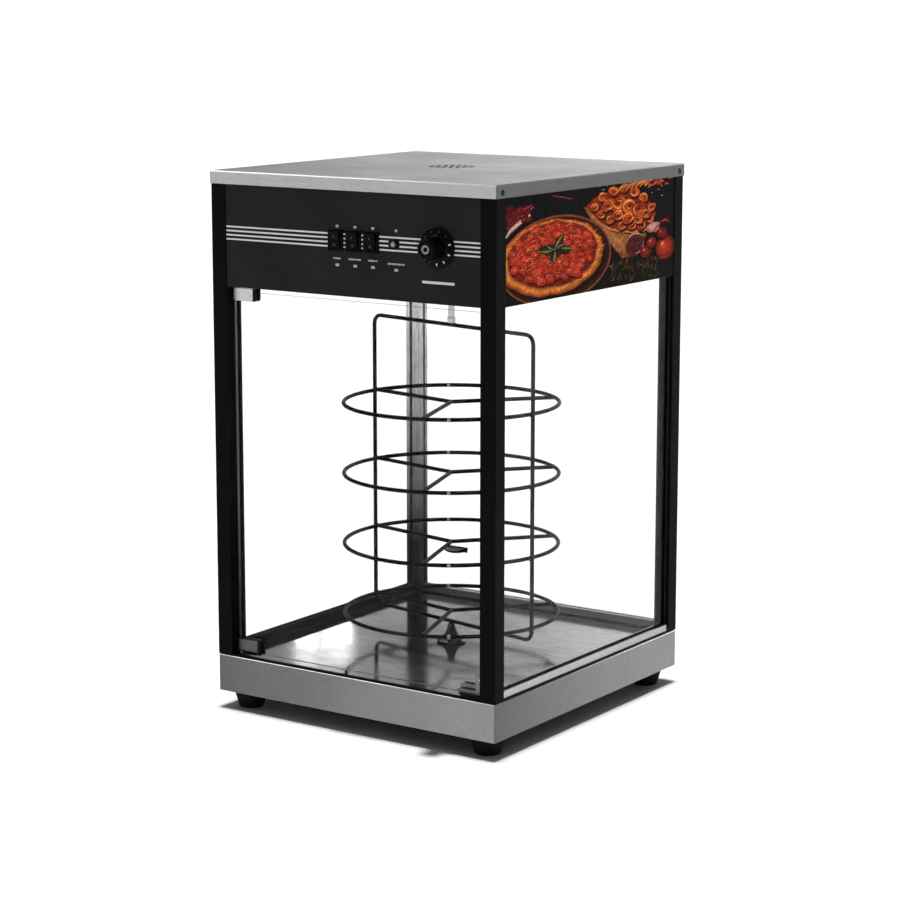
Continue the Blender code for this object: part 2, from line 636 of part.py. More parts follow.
def build_drive(frame):
    motor = ((MOTOR_R - 0.001, MOTOR_LOW), (MOTOR_R, MOTOR_LOW + 0.001), (MOTOR_R, MOTOR_TOP),
             (MOTOR_BOSS_R, MOTOR_TOP), (MOTOR_BOSS_R, SPINDLE_LOW - GAP))
    solid("gear_motor", [at(circle(r, 28), z) for r, z in motor], (BRIGHT, 0.4, 1.0), frame, smooth=True)
    half = BRACKET_W / 2
    step = half - BRACKET_FOOT
    low = MOTOR_TOP + GAP
    high = FLOOR_Z - SHEET - GAP
    outline = [(-half, high - BRACKET_T), (-step, high - BRACKET_T), (-step, low), (step, low),
               (step, high - BRACKET_T), (half, high - BRACKET_T), (half, high), (step - BRACKET_T, high),
               (step - BRACKET_T, low + BRACKET_T), (BRACKET_T - step, low + BRACKET_T),
               (BRACKET_T - step, high), (-half, high)]
    bracket = extruded("motor_bracket", outline, -BRACKET_D / 2, BRACKET_D / 2, (STEEL, 0.5, 1.0), frame,
                       rotation=FACE_FRONT)
    hole = circle(MOTOR_BOSS_R + BOSS_PLAY, 24)
    mesh = bmesh.new()
    add_loft(mesh, [at(hole, low - BRACKET_T), at(hole, low + 2 * BRACKET_T)])
    subtract(bracket, mesh, (0, 0, 0), (0, 0, 0))
    bore = PIN_R + BUSH_PLAY
    seat = HEADER_Z - GAP
    bush = ((bore, BUSH_LOW), (BUSH_R, BUSH_LOW), (BUSH_R, seat), (BUSH_NECK_R, seat),
            (BUSH_NECK_R, BUSH_TOP), (bore, BUSH_TOP))
    solid("pivot_bush", [at(circle(r, 32), z) for r, z in bush], ((0.8, 0.8, 0.78), 0.4, 0.0), frame,
          closed=True, smooth=True)


# ---------------------------------------------------------------- rack
def build_tier(rack, number, height):
    wire = (BLACK, 0.4, 0.0)
    ring = [Vector((x, y, height)) for x, y in circle(TIER_R, 60)]
    tube(f"tier_ring_{number}", ring, WIRE_R, wire, rack, cyclic=True)
    mesh = bmesh.new()
    reach = TIER_R - WIRE_R - GAP
    sides = 8
    mitre = math.tan(math.radians(60))
    for angle in SPOKE_ANGLES:
        along = Vector((math.cos(angle), math.sin(angle), 0))
        across = Vector((-math.sin(angle), math.cos(angle), 0))
        root = []
        tip = []
        for i in range(sides):
            turn = 2 * math.pi * i / sides
            offset = across * (WIRE_R * math.cos(turn)) + Vector((0, 0, WIRE_R * math.sin(turn)))
            root.append(mesh.verts.new(offset + along * (abs(WIRE_R * math.cos(turn)) / mitre)))
            tip.append(mesh.verts.new(offset + along * reach))
        for i in range(sides):
            j = (i + 1) % sides
            mesh.faces.new((root[i], root[j], tip[j], tip[i]))
        mesh.faces.new(tip)
    bmesh.ops.remove_doubles(mesh, verts=mesh.verts, dist=0.00001)
    spokes = mesh_object(f"tier_spokes_{number}", mesh, rack, location=(0, 0, height))
    paint(spokes, *wire)


def hoop_path():
    """Rounded rectangle in the upright plane through the axis."""
    flat = rounded(2 * HOOP_HALF, HOOP_TOP - HOOP_LOW, HOOP_CORNER, 4)
    middle = (HOOP_TOP + HOOP_LOW) / 2
    return [Vector((x * math.cos(HOOP_ANGLE), x * math.sin(HOOP_ANGLE), y + middle)) for x, y in flat]


def build_rack(frame):
    rack = empty("rack_axis", frame, (0, 0, 0))
    for number in range(TIER_COUNT):
        build_tier(rack, number + 1, TIER_LOW + number * TIER_PITCH)
    tube("rack_hoop", hoop_path(), WIRE_R, (BLACK, 0.4, 0.0), rack, cyclic=True)
    base = FLOOR_Z + HUB_LIFT
    top = HOOP_LOW - WIRE_R - GAP
    profile = [(SPINDLE_R, 0, SPINDLE_LOW), (SPINDLE_R, 0, base), (HUB_R, 0.05, base)]
    profile += [(radius, depth, base + lift) for radius, depth, lift in HUB_STEPS]
    profile.append((HUB_NECK_R, HUB_STEPS[1][1], top))
    hub = [at(fluted(r, depth, HUB_FLUTES), z) for r, depth, z in profile]
    solid("drive_hub", hub, (BLACK, 0.3, 0.0), rack, smooth=True)
    foot = HOOP_TOP + WIRE_R + GAP
    collar = foot + PIN_COLLAR_H
    pin = ((PIN_COLLAR_R, foot), (PIN_COLLAR_R, collar), (PIN_R, collar + 0.002), (PIN_R, PIN_TOP - 0.001),
           (PIN_R - 0.001, PIN_TOP))
    solid("pivot_pin", [at(circle(r, 32), z) for r, z in pin], (BRIGHT, 0.3, 1.0), rack, smooth=True)


# ---------------------------------------------------------------- door
def clamp_outline(height, web):
    """Channel across the pane, open at the top; local X is across the pane, local Y is up."""
    half = CLAMP_T / 2
    slot = DOOR_T / 2 + GAP
    return [(-half, 0), (half, 0), (half, height), (slot, height), (slot, web), (-slot, web), (-slot, height),
            (-half, height)]


def build_door(frame):
    door = empty("door_axis", frame, (HINGE_X, DOOR_Y, 0))
    half_t = DOOR_T / 2
    block("door_glass", (-DOOR_HALF - HINGE_X, -half_t, DOOR_LOW), (DOOR_HALF - HINGE_X, half_t, DOOR_TOP),
          (GLASS, 0.03, 0.0), door)
    steel = (BRIGHT, 0.3, 1.0)
    start = CLAMP_LEFT - HINGE_X
    low = DOOR_LOW - GAP - CLAMP_BOTTOM[1]
    high = DOOR_TOP + GAP + CLAMP_TOP[1]
    extruded("hinge_clamp_bottom", clamp_outline(*CLAMP_BOTTOM), start, start + CLAMP_W, steel, door,
             location=(0, 0, low), rotation=ALONG_X)
    extruded("hinge_clamp_top", mirrored(clamp_outline(*CLAMP_TOP), flip_y=True), start, start + CLAMP_W, steel,
             door, location=(0, 0, high), rotation=ALONG_X)
    pins = (("bottom", FLOOR_Z + GAP, low - GAP), ("top", high + GAP, HEADER_Z - GAP))
    for end, z0, z1 in pins:
        extruded(f"hinge_pin_{end}", circle(HINGE_PIN_R, 20), z0, z1, steel, door)
    build_door_fittings(door)


def build_door_fittings(door):
    front = -DOOR_T / 2 - GAP
    half_disc = arc((0, 0), PULL_R, math.pi, 2 * math.pi, 16)
    extruded("door_pull", half_disc, -PULL_T / 2, PULL_T / 2, (BLACK, 0.3, 0.0), door,
             location=(PULL_X - HINGE_X, front, PULL_Z))
    right = DOOR_HALF - HINGE_X
    plate = [(right - STRIKE_FOOT_W, 0), (right, 0), (right, STRIKE_H), (right - STRIKE_W, STRIKE_H),
             (right - STRIKE_W, STRIKE_FOOT_H), (right - STRIKE_FOOT_W, STRIKE_FOOT_H)]
    extruded("strike_plate", plate, 0, STRIKE_T, (BRIGHT, 0.35, 1.0), door, location=(0, front, DOOR_LOW),
             rotation=FACE_FRONT)


def build_catch(frame):
    back = DOOR_Y + DOOR_T / 2 + CATCH_GAP
    block("magnetic_catch", (CATCH_X[0], back, FLOOR_Z + GAP),
          (CATCH_X[1], back + CATCH_D, FLOOR_Z + CATCH_H), (BRIGHT, 0.4, 1.0), frame)


# ---------------------------------------------------------------- whole object
def main():
    for obj in list(bpy.data.objects):
        bpy.data.objects.remove(obj, do_unlink=True)
    frame = empty("case_frame", None, (0, CASE_Y, 0))
    build_base(frame)
    build_posts(frame)
    build_rails(frame)
    build_glass(frame)
    build_header(frame)
    for name, x in zip(SWITCH_NAMES, SWITCH_XS):
        build_switch(frame, name, x)
    build_indicator(frame)
    build_knob(frame)
    build_supply(frame)
    build_lamp(frame)
    build_heater(frame)
    build_drive(frame)
    build_rack(frame)
    build_door(frame)
    build_catch(frame)


main()
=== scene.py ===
import json
import math
import random

import bmesh
import bpy
from mathutils import Matrix, Vector


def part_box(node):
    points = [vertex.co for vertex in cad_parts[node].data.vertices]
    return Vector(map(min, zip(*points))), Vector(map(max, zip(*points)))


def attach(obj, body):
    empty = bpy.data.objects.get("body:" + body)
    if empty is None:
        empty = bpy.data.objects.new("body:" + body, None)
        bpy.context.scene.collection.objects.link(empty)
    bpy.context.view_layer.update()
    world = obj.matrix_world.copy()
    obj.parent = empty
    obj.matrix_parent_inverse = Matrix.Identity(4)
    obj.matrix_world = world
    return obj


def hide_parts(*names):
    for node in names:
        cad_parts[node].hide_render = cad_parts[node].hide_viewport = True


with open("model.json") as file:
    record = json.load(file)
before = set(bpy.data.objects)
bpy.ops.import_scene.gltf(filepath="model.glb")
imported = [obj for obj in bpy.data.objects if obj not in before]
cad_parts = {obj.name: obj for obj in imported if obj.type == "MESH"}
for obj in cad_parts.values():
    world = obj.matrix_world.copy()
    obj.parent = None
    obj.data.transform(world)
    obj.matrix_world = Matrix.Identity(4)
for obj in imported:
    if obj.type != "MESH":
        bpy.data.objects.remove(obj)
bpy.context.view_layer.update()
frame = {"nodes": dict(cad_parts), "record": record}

NODES = frame["nodes"]
MM = 0.001
SWITCHES = ("power", "light", "rotate")
TIERS = range(1, 5)

# orientations of flat work: local Z is the way the face looks
FRONT = Matrix.Rotation(math.radians(90), 4, "X")
RIGHT = Matrix(((0, 0, 1, 0), (1, 0, 0, 0), (0, 1, 0, 0), (0, 0, 0, 1)))
LEFT = Matrix.Rotation(math.radians(180), 4, "Z") @ RIGHT
REAR = Matrix.Rotation(math.radians(180), 4, "Z") @ FRONT
LEVEL = Matrix.Identity(4)


def box_centre(name):
    """The middle of a CAD node's box."""
    low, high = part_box(name)
    return low.lerp(high, 0.5)


CASE_Y = box_centre("rack_hoop").y
PANEL_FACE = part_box("control_panel")[0].y
SIDE_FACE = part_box("header_right")[1].x
FLOOR_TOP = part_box("base_shell")[1].z

# finishes
LINE_SCALE = 1400                    # brushed lines, per metre across them
FLAT = 0.7                           # a face looks along an axis when its normal goes this far along it
VENT_SHADE_REACH = 0.045                   # reach of the painted shade on the vent's walls, from the axis of the rack
LONG_WAY = (0.825, 0.565, 0.0)       # across the inside floor, from its front left to its rear right
SHORT_WAY = (-0.283, 0.413, 0.0)     # the other way, shortened, so that the painted dark reflection is an oval
# colour of the painted dark reflection in the middle of the inside floor
DARK_REFLECTION = (0.045, 0.045, 0.046)
SHADE = (0.012, 0.012, 0.012)

# panel print, heights above the ground
STRIPES = (0.7025, 0.6967, 0.6908, 0.6850)
STRIPE_HALF = 0.00112
DOT_ROW = (0.7111, 0.7147)
TICK_ROW = (0.6582, 0.6619)
CAPTION_ROW = 0.6690
CAPTION_WIDTHS = (0.0130, 0.0217, 0.0158, 0.0280)
BAR_ROW = (0.6442, 0.6477)
INK = (0.00003, 0.00009)             # back and face of the print, in front of the panel
PICTURE_FACE = 0.00002               # first layer of the side picture, off the panel
PICTURE_LAYER = 0.0000022            # rise from each shape of the picture to the next

# stage, light and camera
FLOOR_RADIUS = 150.0
FLOOR_DROP = 0.0003                  # the stage floor lies this far under the feet
OVERHEAD = (10.6, 2.0)               # strength, and width of its disc in degrees
SOFTBOXES = (("softbox_left", (-1.75, -0.65, 2.5), 1.1, 20), ("softbox_back", (0.55, 2.5, 1.75), 0.9, 10))
WINDOWS = (("window_front", (-1.361, 1.421, 0.585), (-0.178, -0.110, 0.081), (0.050, 0.075), 0.075),
           ("window_rear", (-1.334, 1.499, 0.582), (-0.169, -0.047, 0.081), (0.065, 0.090), 0.11))
ROOM_BACK = (-0.10, 0.995, 0.0)
ROOM_FRONT = (-0.55, -0.75, 0.35)
CAMERA_PLACE = (2.0672, -3.0167, 1.0411)
CAMERA_DOWN = 10.414                 # degrees below level
CAMERA_TURN = 34.384                 # degrees round from the front
CAMERA_LENS = 102.1


# ---------------------------------------------------------------- material nodes
def new_look(name, metallic=0.0, specular=0.5):
    material = bpy.data.materials.new(name)
    material.use_nodes = True
    tree = material.node_tree
    shader = tree.nodes["Principled BSDF"]
    shader.inputs["Metallic"].default_value = metallic
    shader.inputs["Specular IOR Level"].default_value = specular
    return material, tree, shader


def node(tree, kind, values=None, **settings):
    """Add a node, with its settings and its inputs, each a value or the socket that feeds it."""
    made = tree.nodes.new(kind)
    for key, value in settings.items():
        setattr(made, key, value)
    for key, value in (values or {}).items():
        if isinstance(value, bpy.types.NodeSocket):
            tree.links.new(value, made.inputs[key])
        else:
            made.inputs[key].default_value = value
    return made


def maths(tree, operation, first, second=0.5, clamp=False):
    return node(tree, "ShaderNodeMath", {0: first, 1: second}, operation=operation,
                use_clamp=clamp).outputs[0]


def times(tree, first, second):
    return maths(tree, "MULTIPLY", first, second)


def plus(tree, first, second, clamp=False):
    return maths(tree, "ADD", first, second, clamp)


def vector_maths(tree, operation, first, second=(0.0, 0.0, 0.0)):
    made = node(tree, "ShaderNodeVectorMath", {0: first, 1: second}, operation=operation)
    return made.outputs["Value" if operation in ("DOT_PRODUCT", "LENGTH") else "Vector"]


def texture_source(tree, output):
    return node(tree, "ShaderNodeTexCoord").outputs[output]


def spread(tree, value, low, high, start=0.0, end=1.0, soft=False):
    """Map a value from start..end to low..high."""
    ends = {"Value": value, "From Min": start, "From Max": end, "To Min": low, "To Max": high}
    kind = "SMOOTHSTEP" if soft else "LINEAR"
    return node(tree, "ShaderNodeMapRange", ends, interpolation_type=kind).outputs[0]


def patchy(tree, value, low, high):
    """Map the middle of a noise to low..high."""
    return spread(tree, value, low, high, 0.3, 0.7)


def blend_colours(tree, factor, first, second, mode="MIX"):
    made = node(tree, "ShaderNodeMix", data_type="RGBA", blend_type=mode)
    for socket, value in ((made.inputs[0], factor), (made.inputs[6], first), (made.inputs[7], second)):
        if isinstance(value, bpy.types.NodeSocket):
            tree.links.new(value, socket)
        elif isinstance(value, tuple):
            socket.default_value = (*value, 1.0)
        else:
            socket.default_value = value
    return made.outputs[2]


def toned(tree, colour, tone):
    return blend_colours(tree, 1.0, colour, tone, "MULTIPLY")


def coordinates(tree, scale=(1, 1, 1)):
    inputs = {"Vector": texture_source(tree, "Object"), "Scale": scale}
    return node(tree, "ShaderNodeMapping", inputs).outputs[0]


def noise(tree, vector, scale, detail=3.0, roughness=0.6):
    inputs = {"Vector": vector, "Scale": scale, "Detail": detail, "Roughness": roughness}
    return node(tree, "ShaderNodeTexNoise", inputs).outputs["Fac"]


def facing(tree, axis):
    """How far the surface faces along an axis of the object, either way, from 0 to 1."""
    parts = node(tree, "ShaderNodeSeparateXYZ", {0: texture_source(tree, "Normal")})
    return maths(tree, "ABSOLUTE", parts.outputs[axis])


def is_facing(tree, axis):
    return maths(tree, "GREATER_THAN", facing(tree, axis), FLAT)


def distance_from_axis(tree):
    """How far a point is from the upright axis of the rack."""
    local = vector_maths(tree, "ADD", texture_source(tree, "Object"), (0.0, -CASE_Y, 0.0))
    return vector_maths(tree, "LENGTH", vector_maths(tree, "MULTIPLY", local, (1.0, 1.0, 0.0)))


def bump(tree, height, strength, distance):
    return node(tree, "ShaderNodeBump", {"Height": height, "Strength": strength,
                                         "Distance": distance}).outputs[0]


def finish_look(tree, shader, colour, roughness, normal=None):
    for key, value in (("Base Color", colour), ("Roughness", roughness), ("Normal", normal)):
        if value is not None:
            tree.links.new(value, shader.inputs[key])


# ---------------------------------------------------------------- finishes
def floor_wear_and_painted_light(tree, colour, is_top):
    """The base: painted light and shade graded along its sides and front, painted shade that makes its
    underside nearly black, and an inside floor that turns lighter towards the rear right, scoured, with a
    painted dark reflection in its middle.
    """
    where = coordinates(tree)
    across = vector_maths(tree, "DOT_PRODUCT", where, LONG_WAY)
    deep = vector_maths(tree, "DOT_PRODUCT", where, SHORT_WAY)
    away = maths(tree, "SQRT", plus(tree, times(tree, across, across),
                                    times(tree, deep, deep)))
    # the inside floor turns a lighter grey towards its rear right
    wear_and_highlight = times(tree, spread(tree, across, 0.0, 0.45, 0.12, 0.24, True), is_top)
    colour = blend_colours(tree, wear_and_highlight, colour, (0.46, 0.46, 0.46))
    # painted light and shade: the sides and the front go from darker to lighter along their length
    is_side = is_facing(tree, "X")
    parts = node(tree, "ShaderNodeSeparateXYZ", {0: where})
    ways = {0: is_side, 2: parts.outputs["X"], 3: parts.outputs["Y"]}
    along = node(tree, "ShaderNodeMix", ways, data_type="FLOAT")
    sweep = spread(tree, along.outputs[0], 0.60, 1.24, -0.24, 0.16)
    sweep = node(tree, "ShaderNodeMix", {0: is_top, 2: sweep, 3: 1.0}, data_type="FLOAT").outputs[0]
    colour = toned(tree, colour, sweep)
    # painted shade: the underside is made nearly black
    under = vector_maths(tree, "DOT_PRODUCT", texture_source(tree, "Normal"), (0.0, 0.0, -1.0))
    under = maths(tree, "GREATER_THAN", under, FLAT)
    colour = blend_colours(tree, under, colour, SHADE)
    # painted dark reflection: the middle of the inside floor is darkened, its edge made uneven by noise
    patch_edge_noise = noise(tree, coordinates(tree, (1.0, 2.2, 1.0)), 9.0, 6.0, 0.68)
    reach = plus(tree, away, spread(tree, patch_edge_noise, -0.12, 0.12, 0.2, 0.8))
    dark = times(tree, spread(tree, reach, 0.88, 0.0, 0.03, 0.16, True), is_top)
    scour = noise(tree, coordinates(tree, (14, 90, 1)), 2.2, 6.0, 0.75)
    colour = blend_colours(tree, dark, colour, DARK_REFLECTION)
    streaks = patchy(tree, scour, 0.55, 1.5)
    return blend_colours(tree, times(tree, is_top, 0.8), colour, toned(tree, colour, streaks))


def brushed(name, grey, rough, low_rough=None, top_grey=None, streak=1.0, side=1.0, painted_vent_shade=False, wear_and_painted_light=False):
    """Brushed stainless: fine lines along the sheet, clouded by handling; top faces may be more polished and
    of their own grey. Painted shade may darken the faces that look along X and the vent's walls, and a base's
    floor gets its wear with painted light and shade.
    """
    material, tree, shader = new_look(name, metallic=1.0)
    upright = coordinates(tree, (5, 5, LINE_SCALE))
    level = coordinates(tree, (5, LINE_SCALE, 5))
    is_top = is_facing(tree, "Z")
    path = node(tree, "ShaderNodeMix", {0: is_top, 4: upright, 5: level}, data_type="VECTOR").outputs[1]
    grain = noise(tree, path, 1.0, 4.0, 0.7)
    cloud = noise(tree, coordinates(tree), 7.0, 4.0, 0.6)
    speck = noise(tree, coordinates(tree, (1.0, 1.0, 1.3)), 190.0, 5.0, 0.75)
    speck = plus(tree, 0.5, times(tree, maths(tree, "SUBTRACT", speck, 0.5), spread(tree, is_top, 1.0, 0.15)))
    tone = patchy(tree, cloud, 0.86, 1.14)
    tone = times(tree, tone, patchy(tree, grain, 1 - 0.12 * streak, 1 + 0.12 * streak))
    tone = times(tree, tone, patchy(tree, speck, 0.90, 1.10))
    # top faces may take their own grey; the cover's darker top is painted shade
    base = blend_colours(tree, is_top, (grey, grey, grey * 1.01), (top_grey or grey,) * 3)
    colour = toned(tree, base, tone)
    # painted shade: faces that look along X are darkened by the factor side
    if side != 1.0:
        across = spread(tree, is_facing(tree, "X"), 1.0, side)
        colour = toned(tree, colour, across)
    # painted shade: the walls of the vent, near the rack's axis, are made nearly black
    if painted_vent_shade:
        away = distance_from_axis(tree)
        wall = times(tree, maths(tree, "LESS_THAN", away, VENT_SHADE_REACH),
                     maths(tree, "LESS_THAN", facing(tree, "Z"), 0.5))
        colour = blend_colours(tree, wall, colour, (0.006, 0.006, 0.006))
    # the base's floor wear, with painted light and shade
    if wear_and_painted_light:
        colour = floor_wear_and_painted_light(tree, colour, is_top)
    wear = plus(tree, patchy(tree, cloud, -0.06, 0.08), patchy(tree, grain, -0.05, 0.05))
    body = spread(tree, is_top, rough, rough if low_rough is None else low_rough)
    roughness = plus(tree, body, wear, clamp=True)
    calm = times(tree, grain, spread(tree, is_top, 1.0, 0.12))
    normal = bump(tree, calm, 0.12 * streak, 0.0002)
    finish_look(tree, shader, colour, roughness, normal)
    return material


def powder_coat(name, colour, rough, grain=900.0, depth=0.25, specular=0.35):
    """Powder coat or vinyl: a tight orange-peel texture, clouded slightly, scuffed in places."""
    material, tree, shader = new_look(name, specular=specular)
    where = coordinates(tree)
    peel = noise(tree, where, grain, 2.0, 0.5)
    cloud = noise(tree, where, 9.0, 5.0, 0.6)
    scuff = noise(tree, coordinates(tree, (60, 60, 9)), 3.0, 6.0, 0.7)
    mark = spread(tree, scuff, 0.0, 1.0, 0.66, 0.8)
    tone = patchy(tree, cloud, 0.82, 1.2)
    tint = toned(tree, colour, tone)
    tint = blend_colours(tree, times(tree, mark, 0.25), tint, tuple(c * 1.6 + 0.003 for c in colour))
    roughness = plus(tree, patchy(tree, cloud, rough - 0.06, rough + 0.06),
                     times(tree, mark, 0.15), clamp=True)
    finish_look(tree, shader, tint, roughness, bump(tree, peel, depth, 0.0002))
    return material


def moulded(name, colour, rough, specular=0.4, grain=1500.0, depth=0.15):
    """Moulded plastic or rubber: a fine spark-eroded skin with flow marks and rubbed high spots."""
    material, tree, shader = new_look(name, specular=specular)
    where = coordinates(tree)
    skin = noise(tree, where, grain, 2.0, 0.6)
    flow = noise(tree, where, 35.0)
    tint = blend_colours(tree, spread(tree, flow, 0.0, 1.0, 0.35, 0.75), tuple(c * 0.85 for c in colour),
                         tuple(c * 1.18 + 0.0004 for c in colour))
    roughness = plus(tree, patchy(tree, flow, rough - 0.07, rough + 0.09),
                     patchy(tree, skin, -0.03, 0.03), clamp=True)
    finish_look(tree, shader, tint, roughness, bump(tree, skin, depth, 0.00012))
    return material


def plated(name, grey, rough):
    """Bright plated or turned metal with faint machining lines and handling marks."""
    material, tree, shader = new_look(name, metallic=1.0)
    where = coordinates(tree)
    lines = noise(tree, coordinates(tree, (90, 90, 2600)), 1.0)
    haze = noise(tree, where, 55.0, 4.0, 0.65)
    tint = blend_colours(tree, spread(tree, haze, 0.0, 1.0, 0.35, 0.7), (grey * 0.86,) * 3,
                         (min(grey * 1.08, 1.0),) * 3)
    roughness = plus(tree, patchy(tree, haze, rough - 0.05, rough + 0.1),
                     patchy(tree, lines, -0.04, 0.04), clamp=True)
    finish_look(tree, shader, tint, roughness, bump(tree, lines, 0.1, 0.0001))
    return material


def galvanised(name):
    """Zinc-coated sheet with its crystal spangle."""
    material, tree, shader = new_look(name, metallic=1.0)
    where = coordinates(tree)
    warp = node(tree, "ShaderNodeTexNoise", {"Vector": where, "Scale": 60.0}).outputs["Color"]
    moved = node(tree, "ShaderNodeMix", {0: 0.01, 4: where, 5: warp}, data_type="VECTOR").outputs[1]
    crystal = node(tree, "ShaderNodeTexVoronoi", {"Vector": moved, "Scale": 110.0}).outputs["Color"]
    value = node(tree, "ShaderNodeSeparateColor", {0: crystal}).outputs[0]
    tint = blend_colours(tree, value, (0.30, 0.31, 0.32), (0.52, 0.53, 0.54))
    finish_look(tree, shader, tint, spread(tree, value, 0.34, 0.6), bump(tree, value, 0.1, 0.0001))
    return material


def enamel_wire(name, rough=0.36):
    """Black coated wire: drips and thin spots in the coating, worn grey on the crowns."""
    material, tree, shader = new_look(name, specular=0.02)
    where = coordinates(tree)
    drip = noise(tree, where, 70.0)
    fine = noise(tree, where, 600.0, 2.0, 0.6)
    wear_and_highlight = noise(tree, where, 24.0, 6.0, 0.75)
    bare_and_sheen = spread(tree, wear_and_highlight, 0.0, 1.0, 0.67, 0.74)
    tint = blend_colours(tree, bare_and_sheen, (0.0012, 0.0012, 0.0013), (0.022, 0.022, 0.0215))
    roughness = plus(tree, patchy(tree, drip, rough - 0.06, rough + 0.12),
                     times(tree, bare_and_sheen, 0.2), clamp=True)
    height = plus(tree, drip, times(tree, fine, 0.15))
    finish_look(tree, shader, tint, roughness, bump(tree, height, 0.3, 0.0004))
    return material


def pane(name, axis):
    """Clear float glass: nearly invisible face on, brighter at a glance, with ground grey-green edges."""
    material, tree, shader = new_look(name)
    output = tree.nodes["Material Output"]
    shader.inputs["Metallic"].default_value = 1.0
    shader.inputs["Base Color"].default_value = (0.9, 0.92, 0.92, 1.0)
    smear = noise(tree, coordinates(tree), 6.0, 5.0, 0.65)
    tree.links.new(spread(tree, smear, 0.01, 0.06, 0.4, 0.75), shader.inputs["Roughness"])
    glance = node(tree, "ShaderNodeLayerWeight", {"Blend": 0.5}).outputs["Facing"]
    mirror = spread(tree, maths(tree, "POWER", glance, 5.0), 0.006, 0.6)
    mirror = plus(tree, mirror, spread(tree, smear, 0.0, 0.006, 0.5, 0.8), clamp=True)
    clear = node(tree, "ShaderNodeBsdfTransparent", {"Color": (0.985, 0.992, 0.99, 1.0)})
    face = node(tree, "ShaderNodeMixShader", {0: mirror, 1: clear.outputs[0], 2: shader.outputs[0]})
    edge = node(tree, "ShaderNodeBsdfPrincipled", {"Roughness": 0.3})
    chips = noise(tree, coordinates(tree), 420.0)
    tree.links.new(blend_colours(tree, chips, (0.035, 0.042, 0.041), (0.10, 0.115, 0.112)),
                   edge.inputs["Base Color"])
    on_edge = maths(tree, "LESS_THAN", facing(tree, axis), 0.5)
    both = node(tree, "ShaderNodeMixShader", {0: on_edge, 1: face.outputs[0], 2: edge.outputs[0]})
    tree.links.new(both.outputs[0], output.inputs["Surface"])
    return material


def ink(name, grey):
    """Screen print, slightly uneven in cover."""
    material, tree, shader = new_look(name)
    where = coordinates(tree)
    cover = noise(tree, where, 700.0)
    patch = noise(tree, where, 40.0)
    tint = blend_colours(tree, times(tree, cover, patch), (grey * 0.8,) * 3, (min(grey * 1.15, 0.95),) * 3)
    finish_look(tree, shader, tint, patchy(tree, cover, 0.35, 0.55), bump(tree, cover, 0.1, 0.00005))
    return material


def food_print(name):
    """A printed food picture: its drawn colours mottled as in a photograph, under a clear film."""
    material, tree, shader = new_look(name, specular=0.015)
    drawn = node(tree, "ShaderNodeAttribute", attribute_name="print").outputs["Color"]
    where = coordinates(tree, (1, 1, 1.6))
    mottle = noise(tree, where, 240.0, 5.0, 0.65)
    broad = noise(tree, where, 70.0)
    tone = times(tree, patchy(tree, mottle, 0.45, 1.6), patchy(tree, broad, 0.75, 1.25))
    tint = toned(tree, drawn, tone)
    dot = noise(tree, where, 2500.0, 1.0, 0.5)
    finish_look(tree, shader, tint, patchy(tree, mottle, 0.32, 0.48), bump(tree, dot, 0.05, 0.00005))
    return material


def heated_steel(name):
    """Sheathed element: oxidised, with straw and blue-grey bands from the heat."""
    material, tree, shader = new_look(name, metallic=1.0)
    where = coordinates(tree)
    band = noise(tree, coordinates(tree, (14, 14, 1)), 1.0)
    soot = noise(tree, where, 220.0, 4.0, 0.7)
    tint = blend_colours(tree, spread(tree, band, 0.0, 1.0, 0.35, 0.65), (0.20, 0.185, 0.17),
                         (0.13, 0.14, 0.16))
    tint = blend_colours(tree, spread(tree, soot, 0.0, 0.6, 0.45, 0.75), tint, (0.05, 0.048, 0.046))
    finish_look(tree, shader, tint, patchy(tree, soot, 0.35, 0.6), bump(tree, soot, 0.15, 0.0001))
    return material


def frosted_bulb(name):
    """Etched bulb glass, clouded in places."""
    material, tree, shader = new_look(name)
    shader.inputs["Transmission Weight"].default_value = 0.25
    etch = noise(tree, coordinates(tree), 900.0)
    cloud = noise(tree, coordinates(tree), 45.0)
    tint = blend_colours(tree, cloud, (0.72, 0.71, 0.69), (0.90, 0.89, 0.87))
    finish_look(tree, shader, tint, patchy(tree, etch, 0.3, 0.45), bump(tree, etch, 0.08, 0.0001))
    return material


def lens_plastic(name):
    """Smoky clear lens with moulded rings inside."""
    material, tree, shader = new_look(name)
    shader.inputs["Coat Weight"].default_value = 0.3
    shader.inputs["Coat Roughness"].default_value = 0.05
    moved = {"Vector": texture_source(tree, "Object"), "Location": tuple(-box_centre("indicator_lens"))}
    local = node(tree, "ShaderNodeMapping", moved).outputs[0]
    flat = vector_maths(tree, "MULTIPLY", local, (1, 0, 1))
    radius = vector_maths(tree, "LENGTH", flat)
    rings = node(tree, "ShaderNodeTexWave", {"Vector": flat, "Scale": 320.0}, wave_type="RINGS",
                 rings_direction="Y").outputs["Fac"]
    tint = blend_colours(tree, spread(tree, radius, 0.0, 1.0, 0.0012, 0.0040), (0.34, 0.34, 0.34), SHADE)
    cast = noise(tree, local, 500.0)
    tint = blend_colours(tree, times(tree, rings, 0.2), tint, (0.3, 0.3, 0.3))
    finish_look(tree, shader, tint, patchy(tree, cast, 0.1, 0.25), bump(tree, rings, 0.3, 0.0002))
    return material


